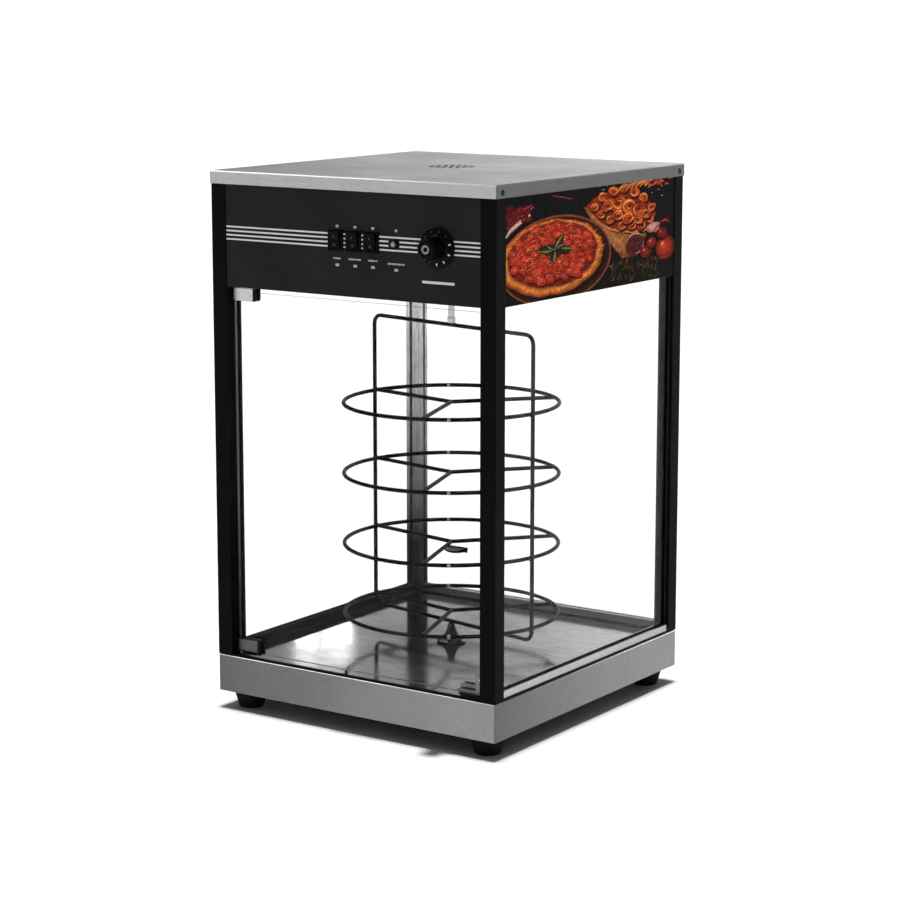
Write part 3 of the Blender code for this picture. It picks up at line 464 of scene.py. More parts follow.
def inner_post(name):
    """A black profile whose inner faces are made metallic, their colour a painted reflection of bright
    streaks, with painted shade that darkens them downwards.
    """
    material, tree, shader = new_look(name, specular=0.06)
    where = texture_source(tree, "Object")
    parts = node(tree, "ShaderNodeSeparateXYZ", {0: where})
    turned = node(tree, "ShaderNodeSeparateXYZ", {0: texture_source(tree, "Normal")})
    inward = maths(tree, "MAXIMUM", turned.outputs["X"], times(tree, turned.outputs["Y"], -1.0))
    inside = maths(tree, "GREATER_THAN", inward, 0.5)
    # painted shade: the inner faces darken downwards
    high = spread(tree, parts.outputs["Z"], 0.0, 1.0, 0.16, 0.55)
    streak_noise = noise(tree, coordinates(tree, (500, 500, 14)), 1.0, 5.0, 0.7)
    blotch = noise(tree, coordinates(tree, (60, 60, 25)), 1.0, 5.0, 0.7)
    bare_and_sheen = times(tree, inside, high)
    # painted reflection: bright grey streaks and blotches on the inner faces
    bright = blend_colours(tree, patchy(tree, streak_noise, 0.0, 1.0), (0.34, 0.34, 0.34), (0.95, 0.95, 0.95))
    bright = toned(tree, bright, patchy(tree, blotch, 0.6, 1.3))
    tint = blend_colours(tree, bare_and_sheen, (0.004, 0.004, 0.0042), bright)
    tree.links.new(spread(tree, bare_and_sheen, 0.0, 0.85), shader.inputs["Metallic"])
    finish_look(tree, shader, tint, patchy(tree, blotch, 0.28, 0.45), bump(tree, streak_noise, 0.1, 0.0002))
    return material


# ---------------------------------------------------------------- outlines and meshes
def circle(radius, segments, centre=(0.0, 0.0), squash=1.0, start=0.0):
    turn = 2 * math.pi / segments
    return [(centre[0] + radius * math.cos(start + i * turn),
             centre[1] + squash * radius * math.sin(start + i * turn))
            for i in range(segments)]


def arc(centre, radius, start, end, steps):
    return [(centre[0] + radius * math.cos(start + (end - start) * i / steps),
             centre[1] + radius * math.sin(start + (end - start) * i / steps)) for i in range(steps + 1)]


def rounded(low, high, radius, steps=4):
    """A rectangle between two corners with round corners; radius may be one per corner, upper right first."""
    radii = radius if isinstance(radius, tuple) else (radius,) * 4
    points = []
    for quarter, (x, y, sx, sy) in enumerate(((high[0], high[1], -1, -1), (low[0], high[1], 1, -1),
                                              (low[0], low[1], 1, 1), (high[0], low[1], -1, 1))):
        r = max(radii[quarter], 1e-6)
        start = quarter * math.pi / 2
        points += arc((x + sx * r, y + sy * r), r, start, start + math.pi / 2, steps)
    return points


def lift(outline, height, matrix):
    return [matrix @ Vector((x, y, height)) for x, y in outline]


def loft(mesh, rings, closed=False):
    """Skin equal rings; the ends are capped unless the stack closes on itself."""
    loops = [[mesh.verts.new(point) for point in ring] for ring in rings]
    pairs = list(zip(loops, loops[1:]))
    if closed:
        pairs.append((loops[-1], loops[0]))
    for lower, upper in pairs:
        count = len(lower)
        for i in range(count):
            j = (i + 1) % count
            mesh.faces.new((lower[i], lower[j], upper[j], upper[i]))
    if not closed:
        mesh.faces.new(list(reversed(loops[0])))
        mesh.faces.new(loops[-1])


def prism(mesh, outline, start, end, matrix):
    loft(mesh, [lift(outline, start, matrix), lift(outline, end, matrix)])


def turned(mesh, profile, segments, matrix, closed=False):
    """Turn a profile of (radius, height) about the local Z axis."""
    loft(mesh, [lift(circle(max(radius, 1e-5), segments), height, matrix) for radius, height in profile],
         closed)


def place_mesh(name, mesh):
    """Turn a mesh into an object of the scene."""
    data = bpy.data.meshes.new(name)
    mesh.to_mesh(data)
    mesh.free()
    obj = bpy.data.objects.new(name, data)
    bpy.context.scene.collection.objects.link(obj)
    return obj


def bevel_edges(obj, width, degrees):
    """Round the edges that turn by more than an angle."""
    modifier = obj.modifiers.new("edges", "BEVEL")
    modifier.width = width
    modifier.segments = 2
    modifier.limit_method = "ANGLE"
    modifier.angle_limit = math.radians(degrees)
    modifier.harden_normals = True


def piece(name, mesh, material, body, replaces=(), smooth=30, bevel=0.0):
    """Make a piece from a mesh, smooth up to an angle, riding on a body."""
    bmesh.ops.recalc_face_normals(mesh, faces=mesh.faces)
    obj = place_mesh(name, mesh)
    obj.data.materials.append(material)
    obj.data.shade_smooth()
    obj.data.set_sharp_from_angle(angle=math.radians(smooth))
    if bevel:
        bevel_edges(obj, bevel, 40)
    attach(obj, body)
    if replaces:
        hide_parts(*replaces)
    return obj


def subtract(obj, mesh, name):
    """Take a mesh away from an object, which keeps its own mesh."""
    bmesh.ops.recalc_face_normals(mesh, faces=mesh.faces)
    cutter = place_mesh(name, mesh)
    cutter.hide_render = True
    cutter.display_type = "WIRE"
    modifier = obj.modifiers.new(name, "BOOLEAN")
    modifier.operation = "DIFFERENCE"
    modifier.solver = "EXACT"
    modifier.object = cutter


def dress(material, *names):
    """Give CAD nodes a material."""
    for name in names:
        data = NODES[name].data
        data.materials.clear()
        data.materials.append(material)


def soften(width, *names):
    """Break the edges of CAD nodes with a small bevel."""
    for name in names:
        obj = NODES[name]
        weld = obj.modifiers.new("weld", "WELD")
        weld.merge_threshold = 0.00002
        bevel_edges(obj, width, 50)


def screw(mesh, matrix, radius, height):
    """A pan head, its rim at local Z = 0."""
    profile = ((radius, -height), (radius, height * 0.35), (radius * 0.93, height * 0.62),
               (radius * 0.7, height * 0.88),
               (radius * 0.35, height), (radius * 0.02, height))
    turned(mesh, profile, 28, matrix)


def cross(mesh, matrix, reach, width, depth):
    """The driver recess of a screw, as a cutter."""
    arm = [(reach, -width), (reach, width), (width, width), (width, reach), (-width, reach), (-width, width),
           (-reach, width), (-reach, -width), (-width, -width), (-width, -reach), (width, -reach), (width,
                                                                                                    -width)]
    inner = [(x * 0.6, y * 0.6) for x, y in arm]
    loft(mesh, [lift(inner, -depth, matrix), lift(arm, depth * 2, matrix)])


# ---------------------------------------------------------------- control panel
def build_panel_print(white, grey):
    """Four silver stripes, plain marks in place of words, and a bar under the knob."""
    matrix = Matrix.Translation((0, PANEL_FACE, 0)) @ FRONT
    low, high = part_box("control_panel")
    lamp_low, lamp_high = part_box("indicator_bezel")
    mesh = bmesh.new()
    for index, z in enumerate(STRIPES):
        spans = [(low.x + 0.0004, high.x - 0.0004)]
        if index in (1, 2):
            spans = [(low.x + 0.0004, lamp_low.x - 0.0022), (lamp_high.x + 0.0022, high.x - 0.0004)]
        for x0, x1 in spans:
            prism(mesh, rounded((x0, z - STRIPE_HALF), (x1, z + STRIPE_HALF), 0.0002, 2), *INK, matrix)
    piece("panel_stripes", mesh, white, "case")

    mesh = bmesh.new()
    centres = [box_centre(f"switch_housing_{switch}").x for switch in SWITCHES]
    lamp_x = (lamp_low.x + lamp_high.x) / 2
    spots = [x + 0.0023 for x in centres] + [lamp_x + 0.0035]
    for index, x in enumerate(spots):
        rise, half = (0.0, 0.0023) if index < 3 else (-0.0012, 0.0019)
        dot = rounded((x - half, DOT_ROW[0] + rise), (x + half, DOT_ROW[1] + rise), 0.0010)
        tick = rounded((x - 0.0031, TICK_ROW[0] + rise), (x + 0.0031, TICK_ROW[1] + rise), 0.0012)
        prism(mesh, dot, *INK, matrix)
        prism(mesh, tick, *INK, matrix)
    piece("panel_marks", mesh, grey, "case")

    mesh = bmesh.new()
    picker = random.Random(11)
    for index, (x, width) in enumerate(zip(spots, CAPTION_WIDTHS)):
        z = CAPTION_ROW if index < 3 else CAPTION_ROW - 0.0022
        cursor = x - width / 2
        while cursor < x + width / 2 - 0.001:
            step = 0.0012 + 0.0010 * picker.random()
            tall = 0.0009 + 0.0005 * picker.random()
            end = min(cursor + step, x + width / 2)
            prism(mesh, rounded((cursor, z - tall), (end, z + tall), 0.0003, 2), *INK, matrix)
            cursor += step + 0.00045
    piece("panel_captions", mesh, grey, "case")

    mesh = bmesh.new()
    knob_low, knob_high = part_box("thermostat_knob")
    x = (knob_low.x + knob_high.x) / 2
    prism(mesh, rounded((x - 0.0255, BAR_ROW[0]), (x + 0.0270, BAR_ROW[1]), 0.0010), *INK, matrix)
    piece("panel_bar", mesh, white, "case")


def build_knob(black, chrome, white, faint, dark):
    """Ribbed grip on a wide skirt with a dial, under a bright cap."""
    low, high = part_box("thermostat_knob")
    x = (low.x + high.x) / 2
    z = (low.z + high.z) / 2
    skirt = (high.x - low.x) / 2
    front = low.y
    back = PANEL_FACE - 0.0008
    depth = back - front
    matrix = Matrix.Translation((x, back, z)) @ FRONT
    mesh = bmesh.new()
    profile = ((0.003, -0.004), (0.003, 0.0), (skirt - 0.0006, 0.0), (skirt, 0.0006), (skirt, 0.0016),
               (skirt - 0.0004, 0.0023), (skirt - 0.0016, 0.0028), (skirt - 0.005, 0.0031), (0.0175, 0.0034),
               (0.0165, 0.0040), (0.0158, 0.0055))
    turned(mesh, profile, 96, matrix)
    piece("knob_skirt", mesh, black, "knob", replaces=("thermostat_knob",), smooth=40)

    mesh = bmesh.new()
    ribs = 40
    rings = []
    for radius, height, flute in ((0.0152, 0.0052, 0.0), (0.0152, 0.0062, 0.0), (0.0149, 0.0070, 0.0004),
                                  (0.0144, depth - 0.0040, 0.0004), (0.0141, depth - 0.0026, 0.0002),
                                  (0.0134, depth - 0.0012, 0.0), (0.0124, depth - 0.0004, 0.0),
                                  (0.0112, depth - 0.0002, 0.0), (0.0085, depth - 0.0006, 0.0)):
        outline = []
        for i in range(ribs * 6):
            angle = 2 * math.pi * i / (ribs * 6)
            reach = radius - flute * (0.5 - 0.5 * math.cos(ribs * angle)) ** 2
            outline.append((reach * math.cos(angle), reach * math.sin(angle)))
        rings.append(lift(outline, height, matrix))
    loft(mesh, rings)
    piece("knob_grip", mesh, black, "knob", smooth=50)

    mesh = bmesh.new()
    cap = ((0.0060, depth - 0.0012), (0.0060, depth - 0.0003), (0.0055, depth - 0.0001),
           (0.0040, depth - 0.00015),
           (0.0032, depth - 0.0006), (0.0029, depth - 0.0012))
    turned(mesh, cap, 48, matrix, closed=True)
    piece("knob_cap_ring", mesh, chrome, "knob", smooth=50)
    mesh = bmesh.new()
    turned(mesh, ((0.0029, depth - 0.0014), (0.0029, depth - 0.0007), (0.0018, depth - 0.0004),
                  (0.0002, depth - 0.0003)), 32, matrix)
    piece("knob_cap_centre", mesh, dark, "knob", smooth=50)

    for name, ink_used, angles, length, wide in (("bright", white, (14, -22, -56, -88), 0.0036, 0.0010),
                                                 ("faint", faint, (46, 78, 110, 142, -118, -146), 0.0028,
                                                  0.0005)):
        mesh = bmesh.new()
        for degrees in angles:
            radial = matrix @ Matrix.Rotation(math.radians(degrees), 4, "Z")
            inner = skirt - 0.0060 - length / 2
            outer = skirt - 0.0060 + length / 2
            prism(mesh, rounded((inner, -wide), (outer, wide), 0.0004, 3), 0.00295, 0.00325, radial)
        if name == "faint":
            pointer = matrix @ Matrix.Rotation(math.radians(90), 4, "Z")
            prism(mesh, rounded((0.0172, -0.0006), (0.0196, 0.0006), 0.0004, 3), 0.0032, 0.0036, pointer)
        piece(f"knob_marks_{name}", mesh, ink_used, "knob")


def build_rocker_marks(white):
    """A bar and a ring on each rocker, its two positions."""
    tilt = math.radians(9)
    slope = math.atan2(0.0017, 0.01102)
    rise = 0.0050 + 0.0056 * math.tan(slope)
    joints = {j["child"]: j for j in frame["record"]["behaviour"]["joints"]}
    for name in SWITCHES:
        anchor = Vector(joints[f"{name}_switch"]["pos_m"])
        anchor.x = box_centre(f"rocker_{name}").x
        turn = Matrix.Translation(anchor) @ Matrix.Rotation(tilt, 4, "X") @ FRONT
        mesh = bmesh.new()
        upper = turn @ Matrix.Translation((0, 0.0056, rise)) @ Matrix.Rotation(slope, 4, "X")
        prism(mesh, rounded((-0.0005, -0.0019), (0.0005, 0.0019), 0.0003, 3), 0.00002, 0.00012, upper)
        lower = turn @ Matrix.Translation((0, -0.0056, rise)) @ Matrix.Rotation(-slope, 4, "X")
        turned(mesh, ((0.0019, 0.00002), (0.0019, 0.00012), (0.0013, 0.00012), (0.0013, 0.00002)), 28, lower,
               True)
        piece(f"rocker_marks_{name}", mesh, white, f"{name}_switch")


# ---------------------------------------------------------------- rack
def build_hub(black):
    """Fluted moulded boss that drives the rack."""
    low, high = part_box("drive_hub")
    base = FLOOR_TOP + 0.0008
    matrix = Matrix.Translation((0, CASE_Y, 0))
    profile = ((0.0040, 0.0, low.z), (0.0040, 0.0, base), (0.0205, 0.03, base),
               (0.0224, 0.045, base + 0.0006),
               (0.0226, 0.05, base + 0.0016), (0.0216, 0.06, base + 0.0030), (0.0188, 0.075, base + 0.0046),
               (0.0158, 0.09, base + 0.0062), (0.0132, 0.11, base + 0.0082), (0.0106, 0.13, base + 0.0110),
               (0.0084, 0.14, base + 0.0145), (0.0070, 0.13, base + 0.0185), (0.0060, 0.10, base + 0.0225),
               (0.0050, 0.0, high.z - 0.0006), (0.0042, 0.0, high.z))
    rings = []
    for radius, depth, z in profile:
        outline = []
        for i in range(96):
            angle = 2 * math.pi * i / 96
            wave = 0.5 - 0.5 * math.cos(6 * angle)
            reach = radius * (1 - depth * wave * wave * 1.6)
            outline.append((reach * math.cos(angle), reach * math.sin(angle)))
        rings.append(lift(outline, z, matrix))
    mesh = bmesh.new()
    loft(mesh, rings)
    piece("hub_moulding", mesh, black, "rack", replaces=("drive_hub",), smooth=45)


def blob(mesh, centre, size, seed):
    """A small weld bead, lumpy and slightly flattened."""
    picker = random.Random(seed)
    made = bmesh.ops.create_icosphere(mesh, subdivisions=2, radius=1.0)
    for vert in made["verts"]:
        rough = 1 + 0.12 * (picker.random() - 0.5)
        vert.co = Vector(centre) + Vector((vert.co.x * size[0], vert.co.y * size[1],
                                           vert.co.z * size[2])) * rough


def round_rack(reach, degrees, z):
    """A point at a distance and a bearing from the axis of the rack."""
    angle = math.radians(degrees)
    return (reach * math.cos(angle), CASE_Y + reach * math.sin(angle), z)


def build_welds(bead, glint_metal):
    """Weld beads where the wires cross, and bright metal bands at two points of each ring, painted
    highlights.
    """
    hoop_low, hoop_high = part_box("rack_hoop")
    wire = 0.003
    mesh = bmesh.new()
    seed = 3
    tiers = []
    for number in TIERS:
        low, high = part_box(f"tier_ring_{number}")
        tiers.append(((low.z + high.z) / 2, (high.x - low.x) / 2 - wire))
    for z, radius in tiers:
        for degrees in (49, 169, 289):
            blob(mesh, round_rack(radius - 0.0022, degrees, z), (0.0026, 0.0026, 0.0031), seed)
            seed += 1
        for degrees in (169, 349):
            for rise in (-0.0024, 0.0024):
                blob(mesh, round_rack(radius + wire, degrees, z + rise), (0.0021, 0.0021, 0.0018), seed)
                seed += 1
        blob(mesh, (0, CASE_Y, z), (0.0040, 0.0040, 0.0032), seed)
        seed += 1
    for degrees in (0, 120, 240):
        blob(mesh, round_rack(0.0042, degrees, hoop_high.z + 0.0002), (0.0022, 0.0022, 0.0014), seed)
        seed += 1
    blob(mesh, (0, CASE_Y, hoop_low.z - 0.0001), (0.0044, 0.0044, 0.0012), seed)
    piece("rack_welds", mesh, bead, "rack", smooth=80)

    # painted highlights: bright swollen bands on each ring where it catches the light
    mesh = bmesh.new()
    for z, radius in tiers:
        for degrees in (303, 126):
            start = math.radians(degrees)
            rings = []
            for step in range(7):
                angle = start + (step - 3) * 0.0045
                swell = wire + 0.00035 * math.cos((step - 3) / 3 * math.pi / 2)
                axis = Vector((math.cos(angle), math.sin(angle), 0))
                centre = Vector((0, CASE_Y, z)) + axis * radius
                rings.append([centre + axis * (swell * math.cos(t)) + Vector((0, 0, swell * math.sin(t)))
                              for t in (2 * math.pi * k / 20 for k in range(20))])
            loft(mesh, rings)
    piece("ring_painted_glints", mesh, glint_metal, "rack", smooth=50)


# ---------------------------------------------------------------- door fittings
def build_door_pull(black, liner, wear_and_highlight):
    """Half-round finger pull with a dished top and a rolled rim; its dish is a lighter grey than the pull, a
    painted highlight.
    """
    low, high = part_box("door_pull")
    radius = (high.x - low.x) / 2
    x = (low.x + high.x) / 2
    face = high.y
    top = high.z
    bottom = low.z
    mesh = bmesh.new()
    steps = 28

    def ring(r, z, flat):
        drop = 0.0034 * (z - bottom) / (top - bottom) * r / radius
        angles = [math.pi + math.pi * i / steps for i in range(steps + 1)]
        return [Vector((x + r * math.cos(a), face - flat + r * math.sin(a),
                        z + drop * math.sin(a))) for a in angles]

    wall = ((radius * 0.34, bottom, 0.0), (radius * 0.56, bottom + 0.0005, 0.0),
            (radius * 0.76, bottom + 0.0018, 0.0),
            (radius * 0.90, bottom + 0.0036, 0.0), (radius * 0.98, top - 0.0022, 0.0), (radius, top - 0.0009,
                                                                                        0.0),
            (radius - 0.0005, top - 0.0002, 0.0), (radius - 0.0013, top, 0.0), (radius - 0.0022, top - 0.0004,
                                                                                0.0008),
            (radius - 0.0032, top - 0.0022, 0.0012), (radius - 0.0060, top - 0.0042, 0.0016),
            (radius - 0.0110, top - 0.0051, 0.0020), (0.0012, top - 0.0053, 0.0022))
    loft(mesh, [ring(*row) for row in wall])
    piece("door_pull_moulding", mesh, black, "door", replaces=("door_pull",), smooth=50)

    # painted highlight: the dish is a lighter grey than the pull
    mesh = bmesh.new()
    bowl = ((radius - 0.0034, top - 0.0019, 0.0013), (radius - 0.0060, top - 0.0038, 0.0016),
            (radius - 0.0110, top - 0.0047, 0.0020), (0.0014, top - 0.0049, 0.0022))
    under = [(r, z - 0.0002, flat) for r, z, flat in reversed(bowl)]
    loft(mesh, [ring(*row) for row in (*bowl, *under)], closed=True)
    piece("door_pull_dish", mesh, wear_and_highlight, "door", smooth=50)

    mesh = bmesh.new()
    matrix = Matrix.Translation((x, face, (top + bottom) / 2)) @ FRONT
    prism(mesh, rounded((-radius + 0.001, bottom - (top + bottom) / 2 + 0.0008),
                        (radius - 0.001, top - (top + bottom) / 2 - 0.0006), 0.001), -0.00025, 0.0006, matrix)
    piece("door_pull_pad", mesh, liner, "door")


def build_strike(steel, bright):
    """L-shaped strike with rounded corners, held by a small screw."""
    low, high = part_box("strike_plate")
    matrix = Matrix.Translation((0, high.y, 0)) @ FRONT
    thick = high.y - low.y
    leg = 0.012
    foot = 0.005
    r = 0.0028
    points = [(low.x + 0.0015, low.z)] + [(high.x - 0.0008, low.z), (high.x, low.z + 0.0008)]
    points += arc((high.x - r, high.z - r), r, 0, math.pi / 2, 6)
    points += arc((high.x - leg + r, high.z - r), r, math.pi / 2, math.pi, 6)
    points += list(reversed(arc((high.x - leg - 0.0015, low.z + foot + 0.0015), 0.0015, -math.pi / 2, 0, 4)))
    points += arc((low.x + 0.0012, low.z + foot - 0.0012), 0.0012, math.pi / 2, math.pi, 4)
    points += [(low.x, low.z + 0.0015)]
    mesh = bmesh.new()
    prism(mesh, points, 0.0, thick - 0.0001, matrix)
    piece("strike_cover", mesh, steel, "door", replaces=("strike_plate",), bevel=0.00025)
    mesh = bmesh.new()
    head = Matrix.Translation((high.x - leg / 2, low.y + 0.0006, low.z + 0.021)) @ FRONT
    profile = ((0.0022, -0.0003), (0.0022, 0.0001), (0.0019, 0.0004), (0.0010, 0.00055), (0.0001, 0.0006))
    turned(mesh, profile, 24, head)
    piece("strike_rivet", mesh, bright, "door", smooth=60)


def build_catch(steel, black, bright):
    """Magnetic catch: a black magnet between two steel pole plates on a folded foot, with its screw."""
    low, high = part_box("magnetic_catch")
    width = high.x - low.x
    mesh = bmesh.new()
    for y0, y1, drop in ((low.y + 0.0001, low.y + 0.0022, 0.0006), (high.y - 0.0034, high.y - 0.0012, 0.0)):
        prism(mesh, rounded((low.x + 0.0004, low.z), (high.x - 0.0004, high.z - drop),
                            (0.0014, 0.0014, 0.0, 0.0)),
              -y1, -y0, FRONT)
    prism(mesh, rounded((low.x + 0.0004, low.z), (high.x - 0.0004, low.z + 0.0012), 0.0001, 1), -high.y,
          -low.y, FRONT)
    piece("catch_plates", mesh, steel, "case", replaces=("magnetic_catch",), bevel=0.0002)
    mesh = bmesh.new()
    prism(mesh, rounded((low.x + 0.002, low.z + 0.0013), (high.x - 0.002, high.z - 0.0028), 0.0006),
          -(high.y - 0.0035), -(low.y + 0.0023), FRONT)
    piece("catch_magnet", mesh, black, "case", bevel=0.0002)
    mesh = bmesh.new()
    screw(mesh, Matrix.Translation((low.x - 0.0032, low.y + 0.0045, FLOOR_TOP + 0.0006)), 0.0022, 0.0014)
    screw(mesh, Matrix.Translation((low.x + width * 0.25, high.y - 0.0005, low.z + 0.0075)) @ REAR, 0.0018,
          0.0005)
    screw(mesh, Matrix.Translation((low.x + width * 0.75, high.y - 0.0005, low.z + 0.0075)) @ REAR, 0.0018,
          0.0005)
    piece("catch_screws", mesh, bright, "case", smooth=50)


def build_clamp_pads(black, bright):
    """Black liners past the free end of each hinge clamp, the lower clamp's sole, and grub screws."""
    glass_low, glass_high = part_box("door_glass")
    for end in ("top", "bottom"):
        low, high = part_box(f"hinge_clamp_{end}")
        mesh = bmesh.new()
        for y0, y1 in ((low.y + 0.0004, glass_low.y - 0.0001), (glass_high.y + 0.0001, high.y - 0.0004)):
            radii = (0.0006, 0.0001, 0.0001, 0.0042) if end == "top" else (0.0042, 0.0001, 0.0001, 0.0006)
            prism(mesh, rounded((high.x + 0.0001, low.z + 0.0002), (high.x + 0.0056, high.z - 0.0002), radii,
                                6),
                  -y1, -y0, FRONT)
        if end == "bottom":
            prism(mesh, rounded((low.x + 0.0002, low.z - 0.0003), (high.x - 0.0002, low.z + 0.0040), 0.0010),
                  -(low.y - 0.0001), -(low.y - 0.0005), FRONT)
        piece(f"clamp_pad_{end}", mesh, black, "door", bevel=0.0003)
        mesh = bmesh.new()
        middle = (low.z + high.z) / 2
        for share in (0.30, 0.72):
            spot = Matrix.Translation((low.x + share * (high.x - low.x), high.y - 0.00005, middle)) @ REAR
            profile = ((0.0026, -0.0004), (0.0026, 0.0001), (0.0023, 0.0003), (0.0014, 0.0003),
                       (0.0012, -0.0006),
                       (0.0002, -0.0006))
            turned(mesh, profile, 30, spot)
        if end == "bottom":
            spot = Matrix.Translation((low.x + 0.0062, low.y - 0.0005, low.z + 0.0008)) @ FRONT
            turned(mesh, ((0.0017, 0.0), (0.0017, 0.0005), (0.0012, 0.0011), (0.0002, 0.0013)), 20, spot)
        piece(f"clamp_screws_{end}", mesh, bright, "door", smooth=40)


def build_door_stop(rubber):
    """Black strip behind the hinged edge of the door, on the inner corner of the post."""
    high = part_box("post_front_left")[1]
    rail_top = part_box("rail_bottom_left")[1].z
    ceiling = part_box("ceiling_plate")[0].z
    radii = (0.0010, 0.0002, 0.0002, 0.0010)
    outline = rounded((high.x - 0.0060, high.y + 0.0001), (high.x + 0.0032, high.y + 0.0060), radii)
    mesh = bmesh.new()
    prism(mesh, outline, rail_top + 0.0012, ceiling - 0.0005, LEVEL)
    piece("door_stop", mesh, rubber, "case")


# ---------------------------------------------------------------- case details
def build_gaskets(rubber):
    """Black sealing strips along the bottom rails and under the front edge."""
    mesh = bmesh.new()
    for side, sign in (("right", 1), ("left", -1)):
        low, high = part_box(f"rail_bottom_{side}")
        outer = high.x if sign > 0 else low.x
        inner = low.x if sign > 0 else high.x
        run0, run1 = low.y + 0.0002, high.y - 0.0002
        for x0, x1, tall in ((outer + sign * 0.0001, outer + sign * 0.0019, 0.0024),
                             (inner - sign * 0.0001, inner - sign * 0.0022, 0.0022)):
            a, b = sorted((x0, x1))
            prism(mesh, rounded((a, run0), (b, run1), 0.0003, 2), FLOOR_TOP + 0.0001, FLOOR_TOP + tall, LEVEL)
    low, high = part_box("rail_bottom_rear")
    for y0, y1, tall in ((high.y + 0.0001, high.y + 0.0018, 0.0024),
                         (low.y - 0.0022, low.y - 0.0001, 0.0022)):
        prism(mesh, rounded((low.x + 0.0002, y0), (high.x - 0.0002, y1), 0.0003, 2), FLOOR_TOP + 0.0001,
              FLOOR_TOP + tall, LEVEL)
    piece("rail_gaskets", mesh, rubber, "case")

    mesh = bmesh.new()
    for side, sign in (("right", 1), ("left", -1)):
        low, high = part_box(f"glass_{side}")
        rail_low, rail_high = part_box(f"rail_bottom_{side}")
        for x0, x1 in ((low.x - 0.0011, low.x - 0.0001), (high.x + 0.0001, high.x + 0.0011)):
            a = max(x0, rail_low.x + 0.0002)
            b = min(x1, rail_high.x - 0.0002)
            prism(mesh, rounded((a, rail_low.y + 0.0004), (b, rail_high.y - 0.0004), 0.0003, 2),
                  rail_high.z + 0.00005, rail_high.z + 0.0010, LEVEL)
    piece("glazing_beads", mesh, rubber, "case")


def build_cover_screws(steel):
    """Four countersunk places in the cover's side lips, each with its screw."""
    low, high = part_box("top_cover")
    z = high.z - 0.0105
    cutter = bmesh.new()
    mesh = bmesh.new()
    slots = bmesh.new()
    for x, matrix in ((high.x, RIGHT), (low.x, LEFT)):
        for y in (low.y + 0.0150, high.y - 0.0150):
            place = Matrix.Translation((x, y, z)) @ matrix
            turned(cutter, ((0.0037, -0.0010), (0.0048, 0.0002)), 32, place)
            screw(mesh, place @ Matrix.Translation((0, 0, -0.0010)), 0.0030, 0.0007)
            turned(mesh, ((0.0036, -0.0009), (0.0045, -0.00003), (0.0042, -0.00003), (0.0033, -0.0008)), 32,
                   place,
                   closed=True)
            cross(slots, place @ Matrix.Translation((0, 0, -0.0003)), 0.0019, 0.00042, 0.0007)
    subtract(NODES["top_cover"], cutter, "cover_sink_cutter")
    screws = piece("cover_screws", mesh, steel, "case", smooth=40)
    subtract(screws, slots, "cover_slot_cutter")


def build_rear_details(black, steel):
    """Cable gland with a hexagon nut and grip rings, and the rear panel's screws."""
    low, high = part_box("cable_gland")
    x = (low.x + high.x) / 2
    z = (low.z + high.z) / 2
    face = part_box("header_rear")[1].y
    reach = high.y - face
    matrix = Matrix.Translation((x, face, z)) @ REAR
    mesh = bmesh.new()
    profile = ((0.0040, -0.0120), (0.0060, -0.0120), (0.0060, 0.0002), (0.0104, 0.0002), (0.0104, 0.0012),
               (0.0096, 0.0018), (0.0096, 0.0050), (0.0090, 0.0055), (0.0092, 0.0062), (0.0086, 0.0068),
               (0.0088, 0.0075), (0.0081, 0.0082), (0.0083, 0.0090), (0.0075, 0.0100), (0.0077, 0.0108),
               (0.0070, 0.0118), (0.0068, reach - 0.0004), (0.0060, reach), (0.0042, reach))
    turned(mesh, profile, 48, matrix, closed=True)
    piece("gland_moulding", mesh, black, "case", replaces=("cable_gland",), smooth=50)
    mesh = bmesh.new()
    outer = circle(0.0103, 6)
    inner = circle(0.0094, 6)
    loft(mesh, [lift(inner, 0.0011, matrix), lift(outer, 0.0014, matrix), lift(outer, 0.0044, matrix),
                lift(inner, 0.0048, matrix)])
    piece("gland_nut", mesh, black, "case")
    mesh = bmesh.new()
    slots = bmesh.new()
    low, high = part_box("header_rear")
    upper_row = 0.745
    for x in (low.x + 0.012, high.x - 0.012):
        for z in (low.z + 0.012, upper_row):
            place = Matrix.Translation((x, face, z)) @ REAR
            screw(mesh, place, 0.0032, 0.0016)
            cross(slots, place @ Matrix.Translation((0, 0, 0.0012)), 0.0018, 0.0004, 0.0008)
    screws = piece("rear_screws", mesh, steel, "case", smooth=40)
    subtract(screws, slots, "rear_slot_cutter")


# ---------------------------------------------------------------- printed food picture
CRUST = (0.42, 0.074, 0.012)
CRUST_LIGHT = (0.84, 0.27, 0.042)
CRUST_DARK = (0.17, 0.035, 0.014)
SAUCE = (0.15, 0.010, 0.005)
SLICE = (0.33, 0.015, 0.008)
SLICE_RIM = (0.20, 0.020, 0.010)
LEAF = (0.030, 0.045, 0.012)
LEAF_LIGHT = (0.26, 0.29, 0.10)
LEAF_DARK = (0.005, 0.008, 0.004)
NIGHT = (0.005, 0.004, 0.004)
WOOD = (0.42, 0.145, 0.040)
WOOD_DARK = (0.12, 0.032, 0.012)
CREAM = (0.80, 0.50, 0.36)


